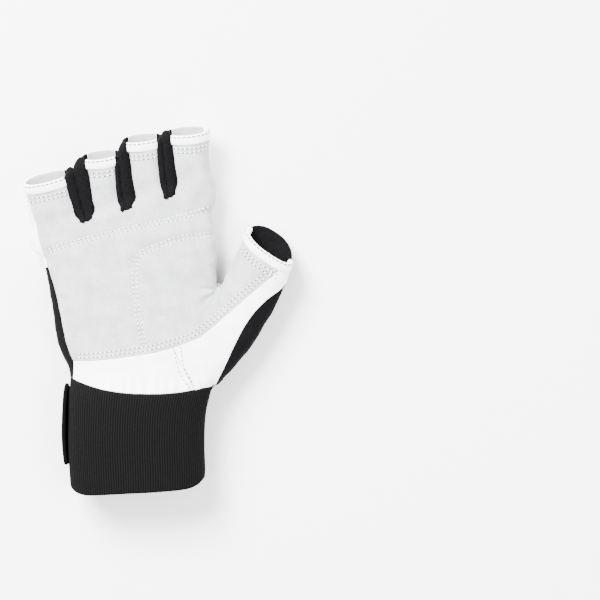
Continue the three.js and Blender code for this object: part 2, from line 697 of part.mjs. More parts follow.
// Suede palm with its finger and thumb fronts
const palmEdge = rightColumn(front.grid.slice(0, thumbRow + 1));
const thumbFrontRim = thumbRim(THUMB_FRONT_EDGE, THUMB_INNER_EDGE, palmEdge.length - 1);
const frontAngleAt = (share) => mix(THUMB_FRONT_EDGE, THUMB_INNER_EDGE, share);
const frontShift = (t, i) => {
  const share = i / (palmEdge.length - 1);
  return crotchShift(palmEdge[i], thumbFrontRim[i], frontAngleAt(share), t, share);
};
const thumbFront = spanBetween(palmEdge, thumbFrontRim, THUMB_ROWS, noFingers, frontShift);
const palmPatches = [{ grid: front.grid }, ...front.fingerPatches, { grid: thumbFront, only: noFingers }];
piece('palm_leather', wall(palmPatches, -SUEDE, 0, quiltDip), suede);

// Smooth leather below the palm, from the suede's edge to the wrist seam
const heelTop = rowPoints(FRONT_ROWS[0], steps(HEEL_COLUMNS).map((t) => t * HEEL_JOIN_TOP));
const heelFoot = rowPoints(CUFF_SEAM, steps(HEEL_COLUMNS).map((t) => t * HEEL_JOIN_FOOT));
const heelSpan = spanBetween(heelTop, heelFoot, HEEL_ROWS);
const heelGrid = trimmed(heelSpan, ['first', 'last', 'end']);
piece('heel_leather', wall([{ grid: heelGrid }], -LEATHER, 0), smoothLeather);

// Smooth strip from the wrist seam up the outside of the thumb
const restShares = (from) => steps(STRIP_REST_COLUMNS).map((t) => mix(from, 1, t));
const heelRest = rowPoints(FRONT_ROWS[0], restShares(HEEL_JOIN_TOP));
const suedeEdge = leftColumn(thumbFront);
const cuffRest = rowPoints(CUFF_SEAM, restShares(HEEL_JOIN_FOOT));
const cuffCorner = cuffRest[cuffRest.length - 1];
const outerRim = thumbRimPoint(THUMB_STRIP_EDGE);
const forward = thumb.up.clone().multiplyScalar(0.8).addScaledVector(thumb.across, -0.6);
const stripShift = (t, share) => forward.clone().multiplyScalar(STRIP_BOW * (sin(PI * t) * share) ** 2);
const outerShift = (t) => stripShift(t, 1);
const outerEdge = spanBetween([cuffCorner], [outerRim], STRIP_COLUMNS, noFingers, outerShift).flat();
const stripInner = resample([...heelRest, ...suedeEdge.slice(1)], STRIP_COLUMNS);
const stripOuter = resample([...cuffRest, ...outerEdge.slice(1)], STRIP_COLUMNS);
const stripGrid = trimmed(spanBetween(stripInner, stripOuter, STRIP_ROWS, noFingers), ['first', 'start']);
piece('thumb_strip', wall([{ grid: stripGrid, only: noFingers }], -LEATHER, 0), smoothLeather);

// Leather over the knuckles and the backs of the fingers
const handEdge = [...leftColumn(heelSpan).reverse(), ...leftColumn(front.grid.slice(1))];
const indexEdge = rightColumn(front.grid.slice(thumbRow));
const back = face(BACK_ROWS, backAngles, handEdge, indexEdge);
const knuckleStart = KNUCKLE_ROW * ROWS_BETWEEN;
const knuckleGrid = trimmed(back.grid.slice(knuckleStart), ['start', 'end']);
const fingerBacks = back.fingerPatches.map((patch, i) => {
  const grid = trimmed(patch.grid, [i === 0 ? 'start' : '', i === lastFinger ? 'end' : '']);
  return { ...patch, grid };
});
piece('knuckle_leather', wall([{ grid: knuckleGrid }, ...fingerBacks], -LEATHER, 0), smoothLeather);

// Stretch cloth over the back of the hand and of the thumb
const backEdge = rightColumn(back.grid.slice(0, thumbRow + 1));
const underRow = { ...BACK_ROWS[0], leftEdge: BACK_THUMB_SIDE, rightEdge: FULL_TURN + CUFF_SEAM.rightEdge };
const cuffUnder = rowPoints(underRow, steps(CUFF_UNDER_COLUMNS));
const thumbBackRoot = [...backEdge.slice().reverse(), ...cuffUnder.slice(1, -1), cuffCorner];
const thumbBackRim = thumbRim(THUMB_INNER_EDGE, FULL_TURN + THUMB_STRIP_EDGE, thumbBackRoot.length - 1);
const backShift = (t, i) => {
  const share = i / (thumbBackRoot.length - 1);
  const angle = mix(THUMB_INNER_EDGE, FULL_TURN + THUMB_STRIP_EDGE, share);
  const besideCrotch = crotchShift(thumbBackRoot[i], thumbBackRim[i], angle, t, 1 - share);
  return stripShift(t, share).add(besideCrotch);
};
const thumbBackSpan = spanBetween(thumbBackRoot, thumbBackRim, THUMB_ROWS, noFingers, backShift);
const thumbBack = trimmed(thumbBackSpan, ['start', 'end']);
const backGrid = trimmed(back.grid.slice(0, knuckleStart + 1), ['last', 'start']);
const backSide = rightColumn(trimmed(backGrid, ['end']));
const backRight = rightColumn(backGrid);
backRight.slice(thumbRow).forEach((point, j) => point.copy(backSide[j + thumbRow]));
const crotchCorner = backRight[thumbRow];
const crotchInside = backGrid[thumbRow - 1][backGrid[0].length - 2];
crotchCorner.lerp(crotchInside, (2 * SEAM_GAP) / crotchCorner.distanceTo(crotchInside));
thumbBack[0][0].copy(crotchCorner);
thumbBack.slice(1, CROTCH_TRIM_ROWS + 1).forEach((row) => row[0].lerp(row[1], CROTCH_TRIM));
const backPatches = [{ grid: backGrid }, { grid: thumbBack, only: noFingers }];
piece('back_cloth', wall(backPatches, -FABRIC, 0), stretchCloth);

// Cloth gussets between neighbouring fingers: down one finger's side, round the crotch and up the next
function crotchFan(tongueFront, tongueBack, middleX) {
  const count = GUSSET_DEPTH_STEPS;
  const z = (tongueFront.z + tongueBack.z) / 2;
  return steps(count).map((t) => {
    if (t === 0) return tongueFront;
    if (t === 1) return tongueBack;
    const turn = PI * t;
    const x = mix(mix(tongueFront.x, tongueBack.x, t), middleX, pow(sin(turn), CROTCH_FULLNESS));
    const y = mix(tongueFront.y, tongueBack.y, t) - CROTCH_SET_IN;
    return cast(new THREE.Vector3(x, y, z), new THREE.Vector3(0, sin(turn), cos(turn)));
  });
}

gaps.forEach((i) => {
  const [finger, next] = [fingers[i], fingers[i + 1]];
  const middleX = (roots[i].right + roots[i + 1].left) / 2;
  const nudge = FINGERS[i].rootSpace / 3;
  const lower = crotchFan(front.tongues[i][0], back.tongues[i][0], middleX - nudge);
  const upper = crotchFan(front.tongues[i][1], back.tongues[i][1], middleX + nudge);
  const angles = steps(GUSSET_DEPTH_STEPS).map((t) => mix(FRONT_EDGE, BACK_EDGE, t));
  const rimA = angles.map((angle) => rimPoint(finger, RIM_SLANT, angle));
  const rimB = angles.map((angle) => rimPoint(next, RIM_SLANT, HALF_TURN - angle));
  const wallA = spanBetween(rimA, lower, FINGER_ROWS, [finger]);
  const crotch = spanBetween(lower, upper, CROTCH_ROWS);
  const wallB = spanBetween(upper, rimB, FINGER_ROWS, [next]);
  const grid = trimmed([...wallA, ...crotch.slice(1), ...wallB.slice(1)], ['start', 'end']);
  const split = [wallA.length, wallA.length + CROTCH_ROWS - 1];
  const patches = [
    { grid: grid.slice(0, split[0]), only: [finger] },
    { grid: grid.slice(split[0] - 1, split[1] + 1) },
    { grid: grid.slice(split[1]), only: [next] },
  ];
  piece(`gusset_${finger.name}_${next.name}`, wall(patches, -FABRIC, 0), stretchCloth);
});

// Smooth leather bound over the front edge of each opening
function binding(l, slant, [from, to], columns, only) {
  const grid = steps(BINDING_ROWS).map((t) =>
    steps(columns).map((u) => {
      const angle = mix(from, to, u);
      const rim = rimPoint(l, slant, angle);
      return settle(rim.addScaledVector(l.along, -t * BINDING_WIDTH), only);
    }));
  return wall([{ grid, only }], CLEARANCE, CLEARANCE + BINDING);
}
fingers.forEach((finger, i) => {
  const band = binding(finger, RIM_SLANT, frontAngles(i), FINGER_COLUMNS, [finger]);
  piece(`${finger.name}_binding`, band, smoothLeather);
});
const thumbAngles = [THUMB_STRIP_EDGE, THUMB_INNER_EDGE];
const thumbBand = binding(thumb, THUMB_RIM_SLANT, thumbAngles, THUMB_BINDING_COLUMNS, noFingers);
piece('thumb_binding', thumbBand, smoothLeather);

// Elastic cuff round the wrist, its hem turned up at either side
const seamMiddle = -PALM_LENGTH / 2;
function cuffSeamY(angle) {
  const sag = sin(radians(angle)) > 0 ? CUFF_SEAM.sag : BACK_ROWS[0].sag;
  return rowHeight({ ...CUFF_SEAM, sag }, angle);
}
function hemY(angle) {
  const c = cos(radians(angle));
  const share = mix(HEM.left, HEM.right, (1 + c) / 2) - HEM.sideRise * pow(abs(c), HEM.sharpness);
  return seamMiddle - share * CUFF_LENGTH;
}
const cuffGrid = steps(CUFF_ROWS).map((t) =>
  steps(CUFF_COLUMNS).map((u) => {
    const angle = (u % 1) * FULL_TURN;
    return settle(onBody(mix(cuffSeamY(angle) - SEAM_GAP, hemY(angle), t), angle), noFingers);
  }));
piece('wrist_cuff', wall([{ grid: cuffGrid, only: noFingers }], -ELASTIC, 0), elasticCloth);

// Closing strap over the back of the wrist, standing off the cuff where it turns, and its hook tab
const strapTop = (angle) => {
  const t = clamp((angle - STRAP_ARC.start) / STRAP_SLOPE, 0, 1);
  return seamMiddle - mix(STRAP_EDGES.topAtStart, STRAP_EDGES.top, smoothstep(t)) * CUFF_LENGTH;
};
function strapWall(from, to, columns) {
  const foot = seamMiddle - STRAP_EDGES.foot * CUFF_LENGTH;
  const standOff = new Map();
  const grid = steps(CUFF_ROWS).map((t) =>
    steps(columns).map((u) => {
      const angle = mix(from, to, u);
      const point = settle(onBody(mix(strapTop(angle), foot, t), angle), noFingers);
      const turn = (angle - STRAP_BULGE_ANGLE) / STRAP_BULGE_SPREAD;
      const across = pow(abs(sin(PI * t)), STRAP_BULGE_FULLNESS);
      standOff.set(point, STRAP_BULGE * exp(-turn * turn) * across);
      return point;
    }));
  return wall([{ grid, only: noFingers }], CLEARANCE, CLEARANCE + STRAP, (p) => standOff.get(p), true);
}
piece('wrist_strap', strapWall(STRAP_ARC.start, STRAP_ARC.end, STRAP_COLUMNS), elasticCloth);
piece('strap_tab', strapWall(STRAP_ARC.tabStart, STRAP_ARC.tabEnd, TAB_COLUMNS), hookCloth);

export default glove;
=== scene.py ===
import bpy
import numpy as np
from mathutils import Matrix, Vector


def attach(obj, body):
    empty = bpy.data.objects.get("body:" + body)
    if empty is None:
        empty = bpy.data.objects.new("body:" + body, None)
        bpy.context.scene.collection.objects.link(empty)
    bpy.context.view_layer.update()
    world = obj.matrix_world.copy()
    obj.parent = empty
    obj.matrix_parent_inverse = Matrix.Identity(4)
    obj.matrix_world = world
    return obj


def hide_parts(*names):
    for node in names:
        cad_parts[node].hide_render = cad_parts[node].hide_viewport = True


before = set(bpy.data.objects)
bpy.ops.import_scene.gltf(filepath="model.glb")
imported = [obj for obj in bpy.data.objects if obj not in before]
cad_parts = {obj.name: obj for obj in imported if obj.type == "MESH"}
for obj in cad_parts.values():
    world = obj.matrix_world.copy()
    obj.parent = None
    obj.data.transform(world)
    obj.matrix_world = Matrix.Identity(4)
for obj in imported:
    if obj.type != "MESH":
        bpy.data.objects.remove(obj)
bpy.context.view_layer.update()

# A fingerless weightlifting glove for the right hand, lying on its back with the palm up.
# Its panels are surfaces laid on one hand form, the same form as the solids'. Lengths are
# millimetres until a mesh is made, +Y runs to the fingertips, +X to the thumb, +Z out of the palm.

MM = 0.001

# ---- sizes of the hand, as in the part's source ----
PALM_LENGTH = 104.0
PALM_DEPTH = 27.0
WRIST_WIDTH = 75.0
WRIST_DEPTH = 33.0
WRIST_SHIFT = 3.3
CUFF_LENGTH = 53.0
FINGER_DEPTH = 18.0
FINGER_CURL = 6.0
FINGER_ROOT_HEIGHT = 11.5
FINGER_SET_IN = 9.0
RIM_SLANT = 2.0
THUMB_DEPTH = 18.0
THUMB_ROOT_WIDTH = 20.0
THUMB_TIP_WIDTH = 29.6
THUMB_SWELL = 6.8
THUMB_BOW = 3.4
THUMB_ROOT_HEIGHT = 13.5
THUMB_TIP_HEIGHT = 17.0
THUMB_RIM_SLANT = 4.2
THUMB_RIM_SKEW = 2.1
TONGUE_WIDTH = 5.0
# How far the palm's cut edges bulge into the gaps between the fingers, and where, in shares of a
# finger's length
EDGE_FULLNESS = 1.0
FULL_FROM, FULL_AT, FULL_RUN, FULL_SHARPNESS = 0.1, 0.28, 0.22, 5
# How far the back of the thumb stands out past its binding
THUMB_HALF_MOON = 4.0
WEB_BLEND = 11.0
CROTCH_BLEND = 2.2
CROTCH_BLEND_FROM = -0.2
CROTCH_BLEND_RUN = 0.26
ROOT_BLEND = 5.0
ROUNDNESS = 2.35
CROTCH_REACH = 3.0
GROUND_STEP_FROM = 0.36
GROUND_STEP_RUN = 0.13
CLEARANCE = 0.5
SUEDE = 1.5
LEATHER = 1.2
FABRIC = 1.1
ELASTIC = 2.2
STRAP = 2.2
BINDING_WIDTH = 4.2
STRAP_LIFT = STRAP + CLEARANCE

# name, root width, tip width, space at the root and at the tip, y of root and tip (share of PALM_LENGTH)
FINGERS = [
    ("little", 30.1, 26.4, 1.6, 5.8, 0.385, 0.644),
    ("ring", 20.8, 21.4, 1.6, 1.2, 0.455, 0.764),
    ("middle", 21.8, 21.8, 1.6, 2.2, 0.52, 0.854),
    ("index", 21.8, 23.6, 0.0, 0.0, 0.59, 0.891),
]
HAND_WIDTH = sum(f[1] + f[3] for f in FINGERS)
ROOTS_START = -0.55
TIPS_START = -0.597
FRONT_EDGE = 46.0
BACK_EDGE = -42.0
LITTLE_SIDE = 158.0
INDEX_SIDE = -22.0
THUMB_INNER_EDGE = 196.0
THUMB_FRONT_EDGE = 40.0
THUMB_STRIP_EDGE = -8.0
STRIP_BOW = 5.0
CROTCH_RELEASE = 4
CROTCH_SHARE = 0.3
BACK_THUMB_SIDE = 302.0

# along, left, right, front, back
PALM_SECTIONS = [
    (-0.39, -0.335, 0.47, 1.19, 0.02),
    (-0.264, -0.392, 0.49, 1.11, -0.05),
    (-0.137, -0.42, 0.49, 1.05, -0.07),
    (0.032, -0.447, 0.478, 1.0, -0.08),
    (0.2, -0.489, 0.474, 0.97, -0.07),
    (0.37, -0.538, 0.464, 0.93, -0.05),
    (0.5, -0.555, 0.441, 0.9, -0.02),
    (0.7, -0.57, 0.43, 0.88, 0.0),
]
WRIST_SECTIONS = [
    (1.3, -0.46, 0.485, 0.97),
    (0.85, -0.485, 0.505, 1.0),
    (0.5, -0.495, 0.5, 1.02),
    (0.2, -0.492, 0.51, 1.02),
    (0.0, -0.49, 0.54, 1.0),
]

# Rows across the hand: height at the left and right, sag in the middle, angle of each end
FRONT_ROWS = [
    (-0.318, -0.15, -0.055, 148.0, 42.0),
    (-0.13, -0.03, -0.03, 151.5, 30.0),
    (0.04, 0.08, -0.015, 154.0, -8.0),
    (0.2, 0.36, 0.0, 161.0, -18.0),
    (0.32, 0.617, 0.0, LITTLE_SIDE, INDEX_SIDE),
]
BACK_ROWS = [
    (-0.407, -0.45, 0.0, 160.0, BACK_THUMB_SIDE),
    (-0.13, -0.08, 0.0, 151.5, BACK_THUMB_SIDE),
    (0.04, 0.08, 0.0, 154.0, 352.0),
    (0.17, 0.22, 0.05, 161.0, 347.0),
    (0.32, 0.617, 0.0, LITTLE_SIDE, 360.0 + INDEX_SIDE),
]
THUMB_ROOT_ROW = 2
KNUCKLE_ROW = 3
CUFF_SEAM = (-0.407, -0.45, -0.062, 160.0, 12.0)
HEEL_JOIN_TOP = 0.77
HEEL_JOIN_FOOT = 0.86
HEM = (1.045, 0.955, 0.1)
STRAP_START, STRAP_END, TAB_START, TAB_END = 174.0, 306.0, 307.2, 328.0
STRAP_TOP_AT_START, STRAP_TOP, STRAP_FOOT = -0.11, 0.0, 0.72
STRAP_BULGE, STRAP_BULGE_ANGLE, STRAP_BULGE_SPREAD = 1.4, 188.0, 22.0

# Gap drawn in at a sewn edge, and how far a wall's edge stands out halfway through its thickness
SEAM_GAP = 0.35
PALM_BEVEL, LEATHER_BEVEL, CLOTH_BEVEL, BAND_BEVEL = 0.3, 0.25, 0.2, 0.4
# How points are put onto the form: passes, longest move, nearness that will do, and halvings of a crossing
SETTLE_PASSES, LONGEST_MOVE, SETTLED, HALVINGS = 9, 4.0, 1e-4, 14
SEARCH_STEP = 0.5
MERGES_PER_MM = 200


def mix(a, b, t):
    return a + (b - a) * t


def smooth(t):
    t = np.clip(t, 0.0, 1.0)
    return t * t * (3 - 2 * t)


def hump(distance, spread):
    """A rounded bump: 1 at no distance, and fading over the spread."""
    return np.exp(-((distance / spread) ** 2))


# ---- the hand form ----
SECTIONS = np.array(
    [
        (
            -PALM_LENGTH / 2 - along * CUFF_LENGTH,
            WRIST_SHIFT + left * WRIST_WIDTH,
            WRIST_SHIFT + right * WRIST_WIDTH,
            STRAP_LIFT + front * WRIST_DEPTH,
            STRAP_LIFT - 1,
        )
        for along, left, right, front in WRIST_SECTIONS
    ]
    + [
        (along * PALM_LENGTH, left * HAND_WIDTH, right * HAND_WIDTH, front * PALM_DEPTH, back * PALM_DEPTH)
        for along, left, right, front, back in PALM_SECTIONS
    ]
)


def sections_at(y):
    """Middle and half sizes of the palm's oval at y: a cubic through the four nearest section rows."""
    ys = SECTIONS[:, 0]
    i = np.clip(np.searchsorted(ys, y) - 1, 0, len(ys) - 2)
    before, after = np.maximum(i - 1, 0), np.minimum(i + 2, len(ys) - 1)
    span = ys[i + 1] - ys[i]
    t = np.clip((y - ys[i]) / span, 0, 1)[..., None]
    a, b = SECTIONS[i, 1:], SECTIONS[i + 1, 1:]
    slope_a = (b - SECTIONS[before, 1:]) / (ys[i + 1] - ys[before])[..., None] * span[..., None]
    slope_b = (SECTIONS[after, 1:] - a) / (ys[after] - ys[i])[..., None] * span[..., None]
    t2, t3 = t * t, t * t * t
    value = (2 * t3 - 3 * t2 + 1) * a + (3 * t2 - 2 * t3) * b
    value = value + (t3 - 2 * t2 + t) * slope_a + (t3 - t2) * slope_b
    left, right, front, back = np.moveaxis(value, -1, 0)
    return (left + right) / 2, (front + back) / 2, (right - left) / 2, (front - back) / 2


def place_side_by_side(start, width_at, space_at):
    """Left edge, middle and right edge of each finger, laid side by side from the little finger."""
    x, places = start * HAND_WIDTH, []
    for finger in FINGERS:
        places.append((x, x + finger[width_at] / 2, x + finger[width_at]))
        x += finger[width_at] + finger[space_at]
    return places


ROOTS = place_side_by_side(ROOTS_START, 1, 3)
TIPS = place_side_by_side(TIPS_START, 2, 4)


class Limb:
    """A finger or thumb: a tapered oval tube from its root to its tip."""

    def __init__(self, name, root, tip, widths, depth, swell=0.0, bow=0.0, slant=RIM_SLANT, skew=0.0):
        self.name, self.root = name, np.array(root)
        self.length = float(np.linalg.norm(np.array(tip) - self.root))
        self.along = (np.array(tip) - self.root) / self.length
        across = np.array((self.along[1], -self.along[0], 0.0))
        self.across = across / np.linalg.norm(across)
        self.up = np.cross(self.across, self.along)
        self.widths, self.depth, self.swell, self.bow = widths, depth, swell, bow
        self.slant, self.skew = slant, skew

    def half_width(self, s):
        t = np.clip(s / self.length, 0, 1)
        return (mix(*self.widths, t) + self.swell * 4 * t * (1 - t)) / 2

    def shift(self, s):
        t = np.clip(s / self.length, 0, 1)
        return self.bow * 4 * t * (1 - t)

    def field(self, p, set_in):
        d = p - self.root
        s = d @ self.along
        h = self.depth / 2
        a, b = (d @ self.across - self.shift(s)) / self.half_width(s), (d @ self.up) / h
        return np.maximum((oval(a, b) - 1) * h, -s - set_in)

    def point(self, s, angle):
        """The point s along the tube at an angle round its flattened oval."""
        s, angle = np.broadcast_arrays(np.asarray(s, float), np.radians(angle))
        sideways = (self.half_width(s) * flat(np.cos(angle)) + self.shift(s))[..., None] * self.across
        upwards = (self.depth / 2 * flat(np.sin(angle)))[..., None] * self.up
        return self.root + s[..., None] * self.along + sideways + upwards

    def rim(self, angle, back=0.0):
        """The rim at an angle, longer at the back of the finger, or a line set back from it."""
        a = np.radians(angle)
        return self.point(self.length - self.slant * np.sin(a) - self.skew * np.cos(a) - back, angle)


def oval(a, b):
    return (np.abs(a) ** ROUNDNESS + np.abs(b) ** ROUNDNESS) ** (1 / ROUNDNESS)


def flat(c):
    return np.sign(c) * np.abs(c) ** (2 / ROUNDNESS)


def blend(a, b, k):
    """Soft union of two fields, rounded over the distance k."""
    h = np.maximum(k - np.abs(a - b), 0) / k
    return np.minimum(a, b) - h * h * k / 4


fingers = [
    Limb(
        name,
        (ROOTS[i][1], root_y * PALM_LENGTH, FINGER_ROOT_HEIGHT),
        (TIPS[i][1], tip_y * PALM_LENGTH, FINGER_ROOT_HEIGHT + FINGER_CURL),
        (root_width, tip_width),
        FINGER_DEPTH,
    )
    for i, (name, root_width, tip_width, _, _, root_y, tip_y) in enumerate(FINGERS)
]
thumb = Limb(
    "thumb",
    (0.4 * HAND_WIDTH, -0.35 * PALM_LENGTH, THUMB_ROOT_HEIGHT),
    (0.769 * HAND_WIDTH, 0.286 * PALM_LENGTH, THUMB_TIP_HEIGHT),
    (THUMB_ROOT_WIDTH, THUMB_TIP_WIDTH),
    THUMB_DEPTH,
    THUMB_SWELL,
    THUMB_BOW,
    THUMB_RIM_SLANT,
    THUMB_RIM_SKEW,
)


def field(p, only=None):
    """Distance-like value, below 0 inside the hand: the palm's ovals cut off past the finger roots,
    softly joined to the finger tubes and the thumb tube, and flattened where the hand lies down."""
    x, y, z = np.moveaxis(p, -1, 0)
    sx, sz, w, h = sections_at(y)
    across = (x - ROOTS[0][0]) / (ROOTS[3][2] - ROOTS[0][0])
    root_line = mix(FRONT_ROWS[-1][0], FRONT_ROWS[-1][1], across) * PALM_LENGTH + CROTCH_REACH
    body = -blend(-(oval((x - sx) / w, (z - sz) / h) - 1) * h, root_line - y, ROOT_BLEND)
    tubes = [finger.field(p, FINGER_SET_IN) for finger in (fingers if only is None else only)]
    if tubes:
        body = blend(body, np.minimum.reduce(tubes), ROOT_BLEND)
    web = mix(WEB_BLEND, CROTCH_BLEND, smooth((y / PALM_LENGTH - CROTCH_BLEND_FROM) / CROTCH_BLEND_RUN))
    body = blend(body, thumb.field(p, 0.0), web)
    lift = STRAP_LIFT * smooth((-PALM_LENGTH * GROUND_STEP_FROM - y) / (PALM_LENGTH * GROUND_STEP_RUN))
    return np.maximum(body, lift - z)


def slope(p, only=None, step=0.02):
    """Outward slope of the field, by differences along the three axes."""
    out = np.empty_like(p)
    for axis in range(3):
        d = np.zeros(3)
        d[axis] = step
        out[..., axis] = (field(p + d, only) - field(p - d, only)) / (2 * step)
    return out


def settle(p, only=None):
    """Moves points near the form onto it, a step of value over slope at a time."""
    p = np.array(p, float)
    for _ in range(SETTLE_PASSES):
        f = field(p, only)
        if np.abs(f).max() < SETTLED:
            break
        g = slope(p, only)
        p += g * np.clip(-f / np.maximum((g * g).sum(-1), 1e-6), -LONGEST_MOVE, LONGEST_MOVE)[..., None]
    return p


def halve(place_at, inner, outer):
    """Narrows the stretch between a value inside the form and one outside it."""
    for _ in range(HALVINGS):
        middle = (inner + outer) / 2
        inside = field(place_at(middle)) < 0
        inner, outer = np.where(inside, middle, inner), np.where(inside, outer, middle)
    return inner, outer


def normals_at(p, only=None):
    g = slope(p, only)
    return g / np.linalg.norm(g, axis=-1, keepdims=True)


# ---- rows, columns and panels ----
def on_body(y, angle):
    """The point of the palm's oval at y, at an angle round it: 0 thumb side, 90 palm."""
    y, a = np.broadcast_arrays(np.asarray(y, float), np.radians(angle))
    x, z, w, h = sections_at(y)
    return np.stack([x + w * flat(np.cos(a)), y, z + h * flat(np.sin(a))], -1)


def row_curve(row, samples=181):
    left, right, sag, from_angle, to_angle = row
    angle = np.linspace(from_angle, to_angle, samples)
    across = (1 + np.cos(np.radians(angle))) / 2
    return on_body((mix(left, right, across) + sag * 4 * across * (1 - across)) * PALM_LENGTH, angle)


def lengths_of(points):
    return np.concatenate([[0], np.cumsum(np.linalg.norm(np.diff(points, axis=0), axis=1))])


def points_at(points, shares):
    """Points at given shares of a polyline's length."""
    run = lengths_of(points)
    where = np.asarray(shares) * run[-1]
    return np.stack([np.interp(where, run, points[:, k]) for k in range(3)], -1)


def share_of_x(points, x):
    run = lengths_of(points)
    return run[np.nonzero(points[:, 0] < x)[0][-1]] / run[-1]


def full_rows(table, between):
    rows = [table[0]]
    for a, b in zip(table, table[1:]):
        rows += [tuple(mix(np.array(a), np.array(b), t)) for t in np.linspace(0, 1, between + 1)[1:]]
    return rows


def row_grid(rows, shares):
    return np.stack([points_at(row_curve(row), shares) for row in rows])


def span(curve_a, curve_b, count, only=None, shift=0.0):
    """Points between two matching curves, shifted and then put back onto the form."""
    t = np.linspace(0, 1, count + 1)[:, None, None]
    return settle(mix(curve_a[None], curve_b[None], t) + shift, only)


def columns_for(curve, finger_columns, tongue_columns):
    """Shares across a face at the finger roots, denser where a finger starts, and each finger's columns."""
    shares, spans = [], []
    for i in range(4):
        start = 0.0 if i == 0 else share_of_x(curve, ROOTS[i][0] + TONGUE_WIDTH / 2)
        end = 1.0 if i == 3 else share_of_x(curve, ROOTS[i][2] - TONGUE_WIDTH / 2)
        if i:
            shares += list(np.linspace(shares[-1], start, tongue_columns + 1)[1:-1])
        first = len(shares)
        shares += list(np.linspace(start, end, finger_columns + 1))
        spans.append((first, len(shares) - 1))
    return np.array(shares), spans


def front_angles(i):
    return (LITTLE_SIDE if i == 0 else 180 - FRONT_EDGE), (INDEX_SIDE if i == 3 else FRONT_EDGE)


def back_angles(i):
    return (LITTLE_SIDE if i == 0 else 180 - BACK_EDGE), 360 + (INDEX_SIDE if i == 3 else BACK_EDGE)


def face(rows, angles, between, finger_columns, tongue_columns, finger_rows, fullness=0.0):
    """One face of the hand: the grid of its rows, and each finger from the root row to its rim.

    Where fingers meet, each finger's edge bulges sideways by the fullness."""
    shares, spans = columns_for(row_curve(rows[-1]), finger_columns, tongue_columns)
    grid = settle(row_grid(full_rows(rows, between), shares))
    patches = []
    for i, finger in enumerate(fingers):
        rim = finger.rim(np.linspace(*angles(i), finger_columns + 1))
        first, last = spans[i]
        t, c = np.linspace(0, 1, finger_rows + 1)[:, None], np.linspace(-1, 1, finger_columns + 1)[None]
        bulge = np.where(c > 0, 0.0 if i == 3 else 1.0, 0.0 if i == 0 else -1.0)
        bulge = bulge * np.abs(c) ** FULL_SHARPNESS
        shift = np.zeros((finger_rows + 1, finger_columns + 1, 3))
        shift[..., 0] = fullness * bulge * hump(t - FULL_AT, FULL_RUN) * smooth(t / FULL_FROM)
        patches.append((span(grid[-1, first : last + 1], rim, finger_rows, [finger], shift), [finger]))
    return grid, patches, spans


def trimmed(grid, edges, gap=SEAM_GAP):
    """Draws the named edges of a grid in by the seam gap."""
    out = grid.copy()
    for name, edge, inner in (
        ("first", np.s_[0], np.s_[1]),
        ("last", np.s_[-1], np.s_[-2]),
        ("start", np.s_[:, 0], np.s_[:, 1]),
        ("end", np.s_[:, -1], np.s_[:, -2]),
    ):
        if name in edges:
            d = np.linalg.norm(grid[inner] - grid[edge], axis=-1, keepdims=True)
            out[edge] += (grid[inner] - grid[edge]) * np.minimum(gap / np.maximum(d, 1e-6), 0.6)
    return out


def nearest(p, line, chunk=3000):
    """Distance of each point to a dense run of points."""
    out = np.empty(len(p))
    for i in range(0, len(p), chunk):
        d = p[i : i + chunk, None, :] - line[None]
        out[i : i + chunk] = np.sqrt((d * d).sum(-1)).min(1)
    return out


# ---- meshes ----
def make_mesh(name, points, faces, materials, slots=None, uv=None):
    """A mesh object in metres from millimetre points and faces, given as index arrays of one width each."""
    mesh = bpy.data.meshes.new(name)
    widths = np.concatenate([np.full(len(f), f.shape[1]) for f in faces])
    loops = np.concatenate([f.ravel() for f in faces]).astype(np.int32)
    mesh.vertices.add(len(points))
    mesh.vertices.foreach_set("co", (points * MM).astype(np.float32).ravel())
    mesh.loops.add(len(loops))
    mesh.loops.foreach_set("vertex_index", loops)
    mesh.polygons.add(len(widths))
    starts = np.concatenate([[0], np.cumsum(widths)[:-1]]).astype(np.int32)
    mesh.polygons.foreach_set("loop_start", starts)
    for material in materials:
        mesh.materials.append(material)
    if slots is not None:
        mesh.polygons.foreach_set("material_index", slots.astype(np.int32))
    if uv is not None:
        layer = mesh.uv_layers.new(name="surface")
        layer.data.foreach_set("uv", uv[loops].astype(np.float32).ravel())
    mesh.update(calc_edges=True)
    mesh.validate()
    mesh.polygons.foreach_set("use_smooth", np.full(len(mesh.polygons), True))
    piece = bpy.data.objects.new(name, mesh)
    bpy.context.scene.collection.objects.link(piece)
    return piece


